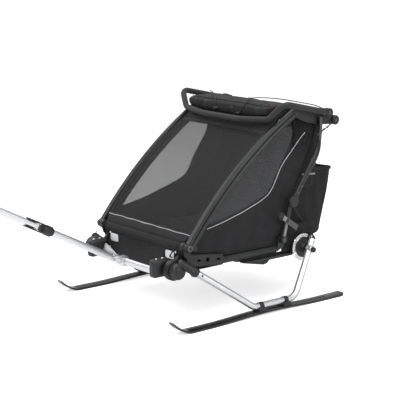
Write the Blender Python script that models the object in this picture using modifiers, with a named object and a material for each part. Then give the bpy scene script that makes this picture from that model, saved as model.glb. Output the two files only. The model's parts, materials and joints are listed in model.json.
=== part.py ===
"""Two-seat child trailer on its ski kit: a folding cabin on aluminium runners with a single tow pole.

X runs to the trailer's left-hand side seen from in front, Y runs back and Z up. The model's origin is on
the ground under the middle of its length, and every Y in this file is measured from the axle.
"""

import math

import bmesh
import bpy
from mathutils import Matrix, Vector

for leftover in list(bpy.data.objects):
    bpy.data.objects.remove(leftover)

# Driving dimensions, in metres and degrees
axle_y = 0.9306
axle_z = 0.256
gap = 0.0003
play = 0.0005
round_steps = 24

# skis
ski_x = 0.470
ski_tip_y = -0.930
ski_length = 1.098
ski_width = 0.068
ski_thickness = 0.011
ski_camber = 0.010
ski_tip_rise = 0.054
ski_tip_run = 0.105
ski_flat_run = 0.105
ski_tail_run = 0.035
ski_tail_rise = 0.004

# ski frames and what carries them
runner_radius = 0.0165
runner_lift = 0.0052
runner_front_y = -0.425
runner_rear_y = -0.155
runner_top_x = 0.410
runner_top_z = 0.300
runner_front_bend = 0.060
runner_rear_bend = 0.085
arm_start = (0.352, -0.790, 0.300)
sleeve_radius = 0.0205
sleeve_length = 0.135
sleeve_depth = 0.055
saddle_length = 0.050
saddle_width = 0.054
saddle_front_y = -0.385
saddle_rear_y = -0.224
boss_radius = 0.0195
boss_height = 0.024
button_radius = 0.0135
button_travel = 0.005
button_height = 0.0165

# front pivots of the ski kit, clamps and crossbar
hub_y = -0.800
hub_z = 0.260
hub_x = 0.300
hub_width = 0.031
hub_radius = 0.050
hub_boss_radius = 0.020
hub_boss_length = 0.0175
eye_radius = 0.039
eye_width = 0.036
clamp_width = 0.046
clamp_depth = 0.092
clamp_height = 0.086
bar_y = -0.862
bar_z = 0.252
bar_depth = 0.024
bar_height = 0.036
bar_grip = 0.034

# tow pole
pole_pitch = 27.3
pole_pivot_y = -0.907
pole_pivot_z = 0.268
pole_radius = 0.0165
pole_ear_radius = 0.0175
pole_ear_width = 0.008
pole_knuckle_width = 0.030
pole_pin_radius = 0.005
pole_rear_length = 0.452
coupler_plug = 0.014
coupler_web = 0.034
coupler_socket = 0.047
pole_fold_at = pole_rear_length + coupler_plug + coupler_web
pole_end_at = pole_fold_at + 0.800
coupler_start = pole_rear_length - coupler_socket
coupler_radius = 0.0245
prong_reach = 0.058
prong_height = 0.006
hook_length = 0.060
hook_thickness = 0.014
hook_hole_radius = 0.006

# brakes
disc_x = 0.3605
disc_thickness = 0.002
disc_radius = 0.070
disc_band = 0.017
carrier_radius = 0.030
axle_radius = 0.012
axle_half_length = runner_top_x - boss_radius - 0.0003
carrier_end = 0.3845
caliper_size = (0.030, 0.046, 0.036)
caliper_turn = 38.0

# suspension arms under the rails
arm_x = 0.318
arm_width = 0.026
arm_height = 0.014
arm_top_z = 0.2285
arm_front_y = -0.375

# chassis
rail_x = 0.318
rail_z = 0.264
rail_radius = 0.0205
rail_end_y = -0.115
block_inner_x = 0.290
block_outer_x = 0.338
block_front_y = -0.7465
block_rear_y = -0.510
block_front_top = 0.326
block_rear_top = 0.296
block_height = 0.056
lug_thickness = 0.016
fold_y = -0.742
fold_z = 0.363
fold_pin_radius = 0.009
fold_cap_radius = 0.016
fold_cap_height = 0.009
cheek_radius = 0.022
cheek_thickness = 0.018
tray_thickness = 0.004
seat_pan_half = 0.324
footwell_half = 0.275
footwell_z = 0.222
seat_front_y = -0.470
seat_rear_y = -0.165
cushion_height = 0.070
cushion_half = 0.285
panel_thickness = 0.003
panel_y = -0.7475
reflector_x = 0.228
reflector_z = 0.311
reflector_width = 0.068
reflector_height = 0.040
reflector_depth = 0.005

# upper frame
upright_x = 0.3525
upright_width = 0.027
upright_depth = 0.050
upright_bottom = (-0.748, 0.386)
upright_top = (-0.085, 0.966)
upright_bend = 2.2
upright_steps = 12
top_rail_x = 0.3465
top_rail_width = 0.033
cross_y = 0.209
cross_z = 0.889
cross_radius = 0.024
cross_half_length = 0.374

# struts that lock the cabin up
strut_low = (-0.128, 0.312)
strut_mid = (-0.081, 0.506)
strut_bend = (0.089, 0.750)
strut_bend_radius = 0.17
strut_top = (0.098, 0.900)
low_strut_x = 0.354
up_strut_x = 0.3722
strut_radius = 0.0085
strut_tube_radius = 0.008
strut_eye_radius = 0.019
strut_pin_radius = 0.006
strut_head_radius = 0.031
lever_pivot = (-0.1185, 0.412)
lever_drop = 33.8
lever_front = 0.066
lever_rear = 0.086
lever_height = 0.030
lever_thickness = 0.005

# handlebar
handle_x = 0.397
handle_pivot = (0.125, 0.937)
handle_apex = (-0.176, 1.004)
handle_front = (-0.210, 0.922)
handle_front_x = 0.322
handle_bow = (-0.237, 0.909)
handle_bow_x = 0.150
handle_radius = 0.0155
handle_corner = 0.045
handle_bow_radius = 0.50
handle_hub_radius = 0.023
handle_boss_radius = 0.020

# cabin covers
cover_half = upright_x - upright_width / 2 - 0.0003
foot_half = 0.316
cover_reach = 0.785
cover_inset = upright_width / 2
roof_half = top_rail_x - top_rail_width / 2 - 0.0003
roll_half = roof_half - 0.0177
cable_radius = 0.0025
cable_holes = (-0.290, 0.315)
cable_hole_depth = 0.014
side_x = top_rail_x - top_rail_width / 2 - 0.0003 - 0.0015
back_half = side_x - 0.0015 - 0.0003
back_foot = (-0.158, 0.3600)
back_head = (0.085, 0.862)
back_thickness = 0.014
bag_half = 0.288
bag_wall = 0.004
strap_width = 0.045
strap_thickness = 0.008
harness_x = 0.145

scene = bpy.context.scene
parts = bpy.data.collections.new("child_bike_trailer")
scene.collection.children.link(parts)
trailer = bpy.data.objects.new("trailer", None)
trailer.location = (0.0, axle_y, 0.0)
parts.objects.link(trailer)


def finish(name, colour, roughness, metallic=0.0):
    made = bpy.data.materials.new(name)
    made.use_nodes = True
    shader = made.node_tree.nodes["Principled BSDF"]
    shader.inputs["Base Color"].default_value = (*colour, 1.0)
    shader.inputs["Roughness"].default_value = roughness
    shader.inputs["Metallic"].default_value = metallic
    return made


anodised = finish("anodised_silver", (0.80, 0.81, 0.82), 0.32, 1.0)
steel = finish("disc_steel", (0.72, 0.72, 0.73), 0.28, 1.0)
frame_black = finish("frame_black", (0.030, 0.031, 0.033), 0.45, 0.2)
moulded = finish("moulded_black", (0.018, 0.018, 0.019), 0.55)
lever_grey = finish("lever_grey", (0.10, 0.10, 0.105), 0.50)
foam = finish("foam_grip", (0.035, 0.035, 0.036), 0.85)
fabric = finish("black_fabric", (0.022, 0.022, 0.024), 0.90)
lining = finish("grey_lining", (0.045, 0.046, 0.050), 0.92)
mesh_net = finish("window_mesh", (0.045, 0.046, 0.048), 0.80)
ski_black = finish("ski_black", (0.015, 0.015, 0.016), 0.35)
reflex = finish("reflex_white", (0.86, 0.87, 0.88), 0.20)


# Shapes. Each is made where it stands, and gets its origin when it is placed.


def as_object(name, bm):
    bmesh.ops.recalc_face_normals(bm, faces=bm.faces)
    mesh = bpy.data.meshes.new(name)
    bm.to_mesh(mesh)
    bm.free()
    made = bpy.data.objects.new(name, mesh)
    scene.collection.objects.link(made)
    return made


def settle(rough):
    """The evaluated object as a plain welded mesh object, in place of the one given."""
    bpy.context.view_layer.update()
    graph = bpy.context.evaluated_depsgraph_get()
    mesh = bpy.data.meshes.new_from_object(rough.evaluated_get(graph))
    bm = bmesh.new()
    bm.from_mesh(mesh)
    bmesh.ops.transform(bm, matrix=rough.matrix_world, verts=bm.verts)
    bmesh.ops.remove_doubles(bm, verts=bm.verts, dist=0.00001)
    bpy.data.meshes.remove(mesh)
    bpy.data.objects.remove(rough)
    return as_object("settled", bm)


def blended(body, others, operation):
    """The body with the others joined to it or cut out of it, one after another."""
    for other in others:
        change = body.modifiers.new("blend", "BOOLEAN")
        change.operation = operation
        change.object = other
        body = settle(body)
        bpy.data.objects.remove(other)
    return body


def join(body, *others):
    return blended(body, others, "UNION")


def cut(body, *others):
    return blended(body, others, "DIFFERENCE")


def bevelled(body, width, segments=1):
    change = body.modifiers.new("edges", "BEVEL")
    change.width = width
    change.segments = segments
    change.limit_method = "ANGLE"
    change.angle_limit = math.radians(40)
    return settle(body)


def box(low, high, bevel=0.0, segments=1):
    low = Vector(low)
    high = Vector(high)
    bm = bmesh.new()
    size = Matrix.Diagonal((*[abs(s) for s in high - low], 1.0))
    bmesh.ops.create_cube(bm, size=1.0, matrix=Matrix.Translation((low + high) / 2) @ size)
    made = as_object("box", bm)
    return bevelled(made, bevel, segments) if bevel else made


def rod(start, end, radius, end_radius=None, steps=round_steps):
    """A round bar or cone from start to end."""
    start = Vector(start)
    end = Vector(end)
    run = end - start
    turn = run.to_track_quat("Z", "Y").to_matrix().to_4x4()
    bm = bmesh.new()
    bmesh.ops.create_cone(
        bm,
        cap_ends=True,
        segments=steps,
        radius1=radius,
        radius2=radius if end_radius is None else end_radius,
        depth=run.length,
        matrix=Matrix.Translation((start + end) / 2) @ turn,
    )
    return as_object("rod", bm)


def across(x_one, x_two, y, z, radius, steps=round_steps):
    """A round bar along X."""
    return rod((x_one, y, z), (x_two, y, z), radius, steps=steps)


def rounded(points, radii, steps=6):
    """The points of a bent line whose inner corners are arcs of the given radii."""
    line = [Vector(points[0])]
    for before, corner, after, radius in zip(points, points[1:], points[2:], radii):
        corner = Vector(corner)
        back = (Vector(before) - corner).normalized()
        ahead = (Vector(after) - corner).normalized()
        half = back.angle(ahead) / 2
        reach = radius / math.tan(half)
        middle = corner + (back + ahead).normalized() * (radius / math.sin(half))
        first = corner + back * reach - middle
        last = corner + ahead * reach - middle
        sweep = first.angle(last)
        for i in range(steps + 1):
            t = i / steps
            mix = first * (math.sin((1 - t) * sweep) / math.sin(sweep))
            mix += last * (math.sin(t * sweep) / math.sin(sweep))
            line.append(middle + mix)
    line.append(Vector(points[-1]))
    return line


def path_curve(line, dimensions="3D", closed=False):
    data = bpy.data.curves.new("path", "CURVE")
    data.dimensions = dimensions
    spline = data.splines.new("POLY")
    spline.points.add(len(line) - 1)
    for knot, point in zip(spline.points, line):
        knot.co = (*Vector(point).to_3d(), 1.0)
    spline.use_cyclic_u = closed
    made = bpy.data.objects.new("path", data)
    scene.collection.objects.link(made)
    return made


def pipe(line, radius, resolution=3):
    """A round tube along a line of points, with closed ends."""
    made = path_curve(line)
    made.data.bevel_depth = radius
    made.data.bevel_resolution = resolution
    made.data.use_fill_caps = True
    return settle(made)


def extruded(line, section):
    """A section drawn in X and depth, swept along a line in the YZ plane."""
    profile = path_curve(section, closed=True)
    made = path_curve(line)
    made.data.twist_mode = "Z_UP"
    made.data.bevel_mode = "OBJECT"
    made.data.bevel_object = profile
    made.data.use_fill_caps = True
    made = settle(made)
    bpy.data.objects.remove(profile)
    return made


def plate(outlines, x_one, x_two):
    """Flat outlines in (Y, Z), the first one solid and the others holes, thick along X."""
    data = bpy.data.curves.new("plate", "CURVE")
    data.dimensions = "2D"
    data.fill_mode = "BOTH"
    data.extrude = abs(x_two - x_one) / 2
    for outline in outlines:
        spline = data.splines.new("POLY")
        spline.points.add(len(outline) - 1)
        for knot, (y, z) in zip(spline.points, outline):
            knot.co = (y, z, 0.0, 1.0)
        spline.use_cyclic_u = True
    made = bpy.data.objects.new("plate", data)
    scene.collection.objects.link(made)
    turn = Matrix(((0, 0, 1, 0), (1, 0, 0, 0), (0, 1, 0, 0), (0, 0, 0, 1)))
    made.matrix_world = Matrix.Translation(((x_one + x_two) / 2, 0, 0)) @ turn
    return settle(made)


def circle(y, z, radius, steps=round_steps):
    turns = [2 * math.pi * i / steps for i in range(steps)]
    return [(y + radius * math.cos(t), z + radius * math.sin(t)) for t in turns]


def rounded_flat(points, radius, steps=3):
    """A closed flat outline with each corner rounded."""
    flat = [Vector((a, b, 0.0)) for a, b in points]
    out = []
    for i, corner in enumerate(flat):
        ahead = flat[(i + 1) % len(flat)]
        bend = rounded([flat[i - 1], corner, ahead], [radius], steps)
        out += [(p.x, p.y) for p in bend[1:-1]]
    return out


def placed(made, name, colour, pivot=(0.0, 0.0, 0.0), smooth=35.0):
    """Names a shape, gives it its material and moves its origin to the pivot."""
    made.name = name
    made.data.name = name
    made.data.materials.clear()
    made.data.materials.append(colour)
    made.data.transform(Matrix.Translation(-Vector(pivot)))
    made.location = pivot
    made.parent = trailer
    made.data.shade_smooth()
    made.data.set_sharp_from_angle(angle=math.radians(smooth))
    scene.collection.objects.unlink(made)
    parts.objects.link(made)
    return made


def both_sides(build):
    build("right", 1.0)
    build("left", -1.0)


# Skis and the frames that carry the trailer on them


def ski_sole(d):
    """Height of the sole at a distance d behind the tip."""
    arch_start = ski_tip_run + ski_flat_run
    arch_end = ski_length - ski_tail_run - ski_flat_run
    tail = ski_length - ski_tail_run
    if d < ski_tip_run:
        return ski_tip_rise * ((ski_tip_run - d) / ski_tip_run) ** 2
    if arch_start < d < arch_end:
        t = (d - arch_start) / (arch_end - arch_start)
        return ski_camber * (1 - math.cos(2 * math.pi * t)) / 2
    if d > tail:
        return ski_tail_rise * ((d - tail) / ski_tail_run) ** 2
    return 0.0


def ski_half(d):
    waist = 0.05 * ski_width * math.sin(math.pi * d / ski_length)
    nose = min(1.0, (d + 0.012) / 0.062)
    heel = min(1.0, (ski_length - d + 0.012) / 0.042)
    rounding = math.sqrt(1 - (1 - nose) ** 2) * math.sqrt(1 - (1 - heel) ** 2)
    return (ski_width / 2 - waist) * rounding


def make_ski(side, s):
    bm = bmesh.new()
    bmesh.ops.create_grid(bm, x_segments=4, y_segments=30, size=1.0)
    for v in bm.verts:
        d = (v.co.y + 1) / 2 * ski_length
        v.co = (s * ski_x + v.co.x * ski_half(d), ski_tip_y + d, ski_sole(d))
    made = as_object("ski", bm)
    thick = made.modifiers.new("thickness", "SOLIDIFY")
    thick.thickness = ski_thickness
    thick.offset = -1.0
    placed(settle(made), f"ski_{side}", ski_black)


def ski_top(y):
    return ski_sole(y - ski_tip_y) + ski_thickness


runner_z = ski_top(saddle_front_y) + runner_lift + runner_radius


def runner_line(s):
    """Centre line of a ski frame, from inside its front sleeve to above the axle."""
    rear = Vector((ski_x, runner_rear_y, runner_z))
    axle = Vector((runner_top_x, 0.0, axle_z))
    top = rear + (axle - rear) * (runner_top_z - runner_z) / (axle_z - runner_z)
    start = Vector(arm_start)
    front = Vector((ski_x, runner_front_y, runner_z))
    mouth = start + (front - start).normalized() * (sleeve_length - sleeve_depth)
    corners = [mouth, front, rear, top]
    line = rounded(corners, [runner_front_bend, runner_rear_bend])
    return [Vector((s * p.x, p.y, p.z)) for p in line]


def runner_direction(s):
    line = runner_line(s)
    return (line[1] - line[0]).normalized()


def make_runner(side, s):
    tube = pipe(runner_line(s), runner_radius, 3)
    face = s * (runner_top_x + boss_height)
    boss = across(s * (runner_top_x - boss_radius), face, 0.0, axle_z, boss_radius)
    tube = join(tube, boss)
    recess = across(face - s * (button_travel + 0.004), face + s * 0.01, 0.0, axle_z, button_radius + play)
    placed(cut(tube, recess), f"ski_frame_{side}", anodised)


def make_button(side, s):
    inner = s * (runner_top_x + boss_height - 0.0035)
    outer = inner + s * button_height
    cap = across(inner, outer, 0.0, axle_z, button_radius)
    cap = bevelled(cap, 0.002)
    placed(cap, f"release_button_{side}", moulded, (inner, 0.0, axle_z))


def make_saddle(where, y, side, s):
    foot = ski_top(y) - 0.001
    height = runner_z - foot
    half = saddle_length / 2
    bump = [(y + half * math.cos(t), foot + height * math.sin(t) ** 0.7)
            for t in [math.pi * i / 12 for i in range(13)]]
    x_low = s * (ski_x - saddle_width / 2)
    x_high = s * (ski_x + saddle_width / 2)
    block = plate([bump], x_low, x_high)
    reach = half + 0.01
    groove = rod((s * ski_x, y - reach, runner_z), (s * ski_x, y + reach, runner_z), runner_radius + gap)
    placed(cut(block, groove, ski_top_slab(y, s)), f"ski_saddle_{where}_{side}", moulded)


def ski_top_slab(y, s):
    """A slab whose top follows the arched ski under a saddle."""
    steps = 6
    reach = saddle_length / 2 + 0.01
    top = []
    for i in range(steps + 1):
        at = y - reach + 2 * reach * i / steps
        top.append((at, ski_top(at) + gap))
    outline = top + [(y + reach, 0.0), (y - reach, 0.0)]
    return plate([outline], s * (ski_x - saddle_width), s * (ski_x + saddle_width))


def make_sleeve(side, s):
    start = Vector((s * arm_start[0], arm_start[1], arm_start[2]))
    along = runner_direction(s)
    sleeve = rod(start, start + along * sleeve_length, sleeve_radius)
    face = hub_x + hub_width + gap
    eye = across(s * face, s * (face + eye_width), hub_y, hub_z, eye_radius)
    sleeve = join(bevelled(eye, 0.003), sleeve)
    mouth = start + along * (sleeve_length - sleeve_depth - gap)
    bore = rod(mouth, start + along * (sleeve_length + 0.01), runner_radius + gap)
    inner = box(
        (min(s * 0.2, s * face), hub_y - 0.1, hub_z - 0.1), (max(s * 0.2, s * face), hub_y + 0.2, hub_z + 0.2)
    )
    placed(cut(sleeve, bore, inner), f"arm_sleeve_{side}", moulded, (s * face, hub_y, hub_z))


def make_hub(side, s):
    disc = bevelled(across(s * hub_x, s * (hub_x + hub_width), hub_y, hub_z, hub_radius), 0.004)
    neck = across(s * (hub_x - hub_boss_length), s * (hub_x + 0.01), hub_y, hub_z, hub_boss_radius)
    placed(join(disc, neck), f"front_hub_{side}", moulded, (s * hub_x, hub_y, hub_z))


def bar_section(depth, height, steps=6):
    """A flat oval in (Y, Z), its ends half round."""
    r = depth / 2
    straight = height / 2 - r
    turns = [math.pi * i / steps for i in range(steps + 1)]
    top = [(r * math.cos(t), straight + r * math.sin(t)) for t in turns]
    low = [(-y, -z) for y, z in top]
    return top + low


def make_clamp(side, s):
    outer = s * (hub_x - hub_boss_length - gap)
    inner = outer - s * clamp_width
    y = hub_y - 0.040
    z = hub_z + 0.006
    low = (min(inner, outer), y - clamp_depth / 2, z - clamp_height / 2)
    high = (max(inner, outer), y + clamp_depth / 2, z + clamp_height / 2)
    block = box(low, high, 0.012, 2)
    hole = [(bar_y + a, bar_z + b) for a, b in bar_section(bar_depth + 2 * gap, bar_height + 2 * gap)]
    bore = plate([hole], inner - s * 0.01, inner + s * (bar_grip + gap))
    placed(cut(block, bore), f"crossbar_clamp_{side}", moulded)


def make_crossbar():
    half = hub_x - hub_boss_length - gap - clamp_width + bar_grip
    outline = [(bar_y + a, bar_z + b) for a, b in bar_section(bar_depth, bar_height)]
    placed(plate([outline], -half, half), "crossbar", anodised)


# Tow pole. It is drawn level, its pivot at the origin and its far end towards -Y.


def tip_pole(made):
    made.data.transform(Matrix.Rotation(math.radians(-pole_pitch), 4, "X"))
    made.data.transform(Matrix.Translation((0.0, pole_pivot_y, pole_pivot_z)))
    return made


def on_pole(distance, rise=0.0):
    tilt = math.radians(pole_pitch)
    y = pole_pivot_y - distance * math.cos(tilt) + rise * math.sin(tilt)
    return (0.0, y, pole_pivot_z + distance * math.sin(tilt) + rise * math.cos(tilt))


def make_pole_bracket():
    half = pole_knuckle_width / 2 + play + pole_ear_width
    back = bar_y + bar_depth / 2 + 0.006
    body = box((-half, bar_y - bar_depth / 2 - 0.006, bar_z - bar_height / 2 - 0.006),
               (half, back, bar_z + bar_height / 2 + 0.006), 0.003)
    hole = [(bar_y + a, bar_z + b) for a, b in bar_section(bar_depth + 2 * gap, bar_height + 2 * gap)]
    y_far = bar_y - bar_depth / 2 - 0.003
    slant = math.atan2(pole_pivot_z - bar_z, pole_pivot_y - y_far)
    ear = circle(pole_pivot_y, pole_pivot_z, pole_ear_radius)
    toward = (-math.cos(slant), -math.sin(slant))
    ear = [p for p in ear if (p[0] - pole_pivot_y) * toward[0] + (p[1] - pole_pivot_z) * toward[1] < 0.004]
    ear.sort(key=lambda p: math.atan2(p[1] - pole_pivot_z, p[0] - pole_pivot_y) % (2 * math.pi))
    ear += [(y_far, pole_pivot_z - pole_ear_radius), (y_far, pole_pivot_z + pole_ear_radius)]
    middle = sum(p[0] for p in ear) / len(ear), sum(p[1] for p in ear) / len(ear)
    ear.sort(key=lambda p: math.atan2(p[1] - middle[1], p[0] - middle[0]))
    ears = [plate([ear], s * (half - pole_ear_width), s * half) for s in (-1.0, 1.0)]
    pin = across(-half + 0.001, half - 0.001, pole_pivot_y, pole_pivot_z, pole_pin_radius, 12)
    body = join(body, ears[0], ears[1], pin)
    placed(cut(body, plate([hole], -half - 0.01, half + 0.01)), "pole_bracket", moulded)


def make_pole_rear():
    knuckle = across(-pole_knuckle_width / 2, pole_knuckle_width / 2, 0.0, 0.0, pole_ear_radius - 0.002)
    tube = rod((0.0, -0.008, 0.0), (0.0, -pole_rear_length, 0.0), pole_radius)
    side_cuts = [box((min(s * 0.1, s * pole_knuckle_width / 2), -0.026, -0.05),
                     (max(s * 0.1, s * pole_knuckle_width / 2), 0.05, 0.05)) for s in (-1.0, 1.0)]
    tube = cut(tube, side_cuts[0], side_cuts[1])
    tube = join(tube, knuckle)
    tube = cut(tube, across(-0.05, 0.05, 0.0, 0.0, pole_pin_radius + play, 12))
    placed(tip_pole(tube), "pole_rear_tube", anodised, (0.0, pole_pivot_y, pole_pivot_z))


def make_coupler():
    """A bullet-shaped socket on the rear tube with two prongs over the front tube's rounded end."""
    inner = pole_radius + play
    nose = rod((0, -coupler_start, 0), (0, -coupler_start - 0.012, 0), inner + 0.003, coupler_radius)
    barrel = rod((0, -coupler_start - 0.012, 0), (0, -pole_fold_at - prong_reach, 0), coupler_radius)
    body = join(nose, barrel)
    body = cut(body, rod((0, -coupler_start + 0.01, 0), (0, -pole_rear_length - gap, 0), pole_radius + gap))
    slot = box((-0.05, -pole_fold_at - 0.2, -inner), (0.05, -pole_fold_at + coupler_web, inner))
    body = cut(body, slot)
    for s in (-1.0, 1.0):
        flat = box((-0.05, -pole_fold_at - 0.2, min(s * (inner + prong_height), s * 0.1)),
                   (0.05, 0.2, max(s * (inner + prong_height), s * 0.1)))
        body = cut(body, flat)
    pin_half = inner + 0.002
    pin = rod((0, -pole_fold_at, -pin_half), (0, -pole_fold_at, pin_half), pole_pin_radius, steps=12)
    body = join(body, pin)
    placed(tip_pole(body), "pole_coupler", moulded, (0.0, pole_pivot_y, pole_pivot_z))


def make_pole_front():
    tube = rod((0.0, -pole_fold_at, 0.0), (0.0, -pole_end_at, 0.0), pole_radius)
    eye = rod((0, -pole_fold_at, -pole_radius + 0.001), (0, -pole_fold_at, pole_radius - 0.001), pole_radius)
    tube = join(tube, eye)
    bore = rod((0, -pole_fold_at, -0.05), (0, -pole_fold_at, 0.05), pole_pin_radius + play, steps=12)
    placed(tip_pole(cut(tube, bore)), "pole_front_tube", anodised, on_pole(pole_fold_at))


def make_hook():
    """A moulded cap on the pole's end with a flat lug for the hip belt."""
    cap = rod((0, -pole_end_at - gap, 0), (0, -pole_end_at - 0.024, 0), pole_radius + 0.002)
    far = -pole_end_at - hook_length + 0.016
    lug = [(far, 0.0)]
    lug = [(far - 0.016 * math.sin(t), 0.016 * math.cos(t)) for t in [math.pi * i / 10 for i in range(11)]]
    lug = lug + [(-pole_end_at - 0.015, -0.016), (-pole_end_at - 0.015, 0.016)]
    blade = plate([lug, circle(far, 0.0, hook_hole_radius, 16)], -hook_thickness / 2, hook_thickness / 2)
    placed(tip_pole(join(cap, blade)), "pole_end_lug", moulded, on_pole(pole_fold_at))


# Axle, brake discs and calipers


def make_axle():
    beam = across(-axle_half_length, axle_half_length, 0.0, axle_z, axle_radius)
    for s in (-1.0, 1.0):
        low = arm_top_z - arm_height
        outline = [
            (axle_radius + 0.008, axle_z + 0.006), (-0.012, axle_z + 0.016), (-0.060, arm_top_z),
            (arm_front_y, arm_top_z), (arm_front_y, arm_top_z - 0.004), (-0.240, low - 0.018),
            (-0.215, low - 0.014), (-0.200, low), (-0.050, low), (axle_radius + 0.008, axle_z - 0.018),
        ]
        x_low = s * (arm_x - arm_width / 2)
        x_high = s * (arm_x + arm_width / 2)
        beam = join(beam, plate([outline], x_low, x_high))
        beam = join(beam, across(s * 0.300, s * (disc_x - 0.006), 0.0, axle_z, 0.0195))
    placed(beam, "axle_beam", frame_black, (0.0, 0.0, axle_z))


def make_disc(side, s):
    inner = disc_radius - disc_band
    hub_edge = carrier_radius - 0.004
    windows = 6
    holes = [circle(0.0, axle_z, axle_radius + gap)]
    spoke = 0.0035
    for k in range(windows):
        from_turn = 2 * math.pi * k / windows
        to_turn = 2 * math.pi * (k + 1) / windows
        outline = []
        for i in range(6):
            t = from_turn + spoke / inner + (to_turn - from_turn - 2 * spoke / inner) * i / 5
            outline.append((inner * math.cos(t), axle_z + inner * math.sin(t)))
        for i in range(4):
            t = to_turn - spoke / hub_edge - (to_turn - from_turn - 2 * spoke / hub_edge) * i / 3
            outline.append((hub_edge * math.cos(t), axle_z + hub_edge * math.sin(t)))
        holes.append(outline)
    rim = circle(0.0, axle_z, disc_radius, 48)
    made = plate([rim] + holes, s * disc_x, s * (disc_x + disc_thickness))
    placed(made, f"brake_disc_{side}", steel, (s * disc_x, 0.0, axle_z))


def make_carrier(side, s):
    face = disc_x + disc_thickness + gap
    body = bevelled(across(s * face, s * carrier_end, 0.0, axle_z, carrier_radius), 0.002)
    body = cut(body, across(s * 0.2, s * 0.5, 0.0, axle_z, axle_radius + gap))
    placed(body, f"disc_carrier_{side}", moulded, (s * disc_x, 0.0, axle_z))


def make_caliper(side, s):
    turn = math.radians(caliper_turn)
    along = Vector((0.0, math.cos(turn), math.sin(turn)))
    middle = Vector((s * (disc_x + disc_thickness / 2), 0.0, axle_z)) + along * (disc_radius - 0.002)
    wide, tangent, radial = caliper_size
    body = box((-wide / 2, -radial / 2, -tangent / 2), (wide / 2, radial / 2, tangent / 2), 0.005, 2)
    slot_half = disc_thickness / 2 + 0.001
    slot = box((-slot_half, -radial, -tangent), (slot_half, radial / 2 - 0.008, tangent))
    body = cut(body, slot)
    body.data.transform(Matrix.Rotation(turn, 4, "X"))
    body.data.transform(Matrix.Translation(middle))
    foot = Vector((s * (disc_x - 0.0105), 0.0, axle_z)) + along * 0.062
    root = Vector((s * (disc_x - 0.0105), 0.0, axle_z)) + along * (0.0195 + gap)
    side_way = Vector((0.0, -math.sin(turn), math.cos(turn))) * 0.010
    outline = [foot - side_way, foot + side_way, root + side_way * 0.6, root - side_way * 0.6]
    arm = plate([[(p.y, p.z) for p in outline]], s * (disc_x - 0.0135), s * (disc_x - 0.0075))
    sleeve = cut(arm, across(s * 0.3, s * 0.38, 0.0, axle_z, 0.0195 + gap))
    placed(join(body, sleeve), f"brake_caliper_{side}", moulded)


# Chassis: rails, front brackets, floor and seat


def make_front_bracket(side, s):
    block = rounded_flat([
        (block_front_y, block_front_top), (block_front_y + 0.032, block_front_top - block_height - 0.006),
        (block_rear_y, block_rear_top - block_height + 0.004), (block_rear_y, block_rear_top),
    ], 0.006)
    holes = [circle(-0.607, 0.283, 0.011, 16)]
    for y, z in ((-0.660, 0.287), (-0.540, 0.277)):
        holes.append(rounded_flat([(y - 0.011, z - 0.005), (y + 0.011, z - 0.005),
                                   (y + 0.011, z + 0.005), (y - 0.011, z + 0.005)], 0.0045, 2))
    inner = s * block_inner_x
    outer = s * block_outer_x
    body = plate([block] + holes, inner, outer)
    lug_in = s * (hub_x - gap - lug_thickness)
    lug_out = s * (hub_x - gap)
    lug_line = circle(hub_y, hub_z, hub_boss_radius + 0.012)
    lug = plate([lug_line, circle(hub_y, hub_z, hub_boss_radius + play)], lug_in, lug_out)
    strap = rounded_flat([(hub_y + 0.020, hub_z + 0.032), (hub_y + 0.031, hub_z - 0.010),
                          (block_front_y + 0.060, block_front_top - block_height),
                          (block_front_y + 0.060, block_front_top - 0.008),
                          (hub_y + 0.050, hub_z + 0.058)], 0.005)
    strap = plate([strap], lug_in, lug_out)
    strap = cut(strap, across(s * 0.2, s * 0.4, hub_y, hub_z, hub_boss_radius + 0.006))
    cheek = circle(fold_y, fold_z, cheek_radius)
    cheek = plate([cheek], outer - s * cheek_thickness, outer)
    stem = rounded_flat([(fold_y - 0.004, block_front_top - 0.010), (fold_y + 0.040, block_front_top - 0.012),
                         (fold_y + 0.022, fold_z), (fold_y - 0.020, fold_z)], 0.004)
    stem = plate([stem], outer - s * (cheek_thickness - 0.002), outer - s * 0.002)
    pin_end = s * (upright_x + upright_width / 2 + gap)
    pin = across(outer - s * 0.004, pin_end + s * 0.002, fold_y, fold_z, fold_pin_radius)
    cap = across(pin_end, pin_end + s * fold_cap_height, fold_y, fold_z, fold_cap_radius)
    body = join(body, strap, lug, stem, cheek, pin, bevelled(cap, 0.0025))
    placed(body, f"front_bracket_{side}", moulded)


def make_rail(side, s):
    front = (s * rail_x, block_rear_y + gap, rail_z)
    lift = (s * rail_x, rail_end_y - 0.035, rail_z)
    end = (s * rail_x, rail_end_y, rail_z + 0.020)
    tube = pipe(rounded([front, lift, end], [0.05], 4), rail_radius, 4)
    y, z = strut_low
    lug = rounded_flat([(y - 0.030, rail_z + 0.002), (y + 0.012, rail_z + 0.002),
                        (y + 0.020, z + 0.016), (y - 0.020, z + 0.016)], 0.007)
    lug_out = low_strut_x - 0.010 - play
    ear = plate([lug], s * (rail_x - 0.004), s * lug_out)
    pin = across(s * (lug_out - 0.004), s * (low_strut_x + 0.010 + 0.003), y, z, strut_pin_radius, 16)
    placed(join(tube, ear, pin), f"lower_rail_{side}", frame_black)


def make_floor():
    pan_z = rail_z + rail_radius + gap
    pan = box((-seat_pan_half, seat_front_y, pan_z), (seat_pan_half, seat_rear_y, pan_z + tray_thickness))
    t = tray_thickness
    front = panel_y + panel_thickness + gap
    well = [
        (front, 0.300), (front, footwell_z), (seat_front_y + t, footwell_z),
        (seat_front_y + t, pan_z + t / 2), (seat_front_y, pan_z + t / 2),
        (seat_front_y, footwell_z + t), (front + t, footwell_z + t), (front + t, 0.300),
    ]
    placed(join(pan, plate([well], -footwell_half, footwell_half)), "floor_tray", moulded)


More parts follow.
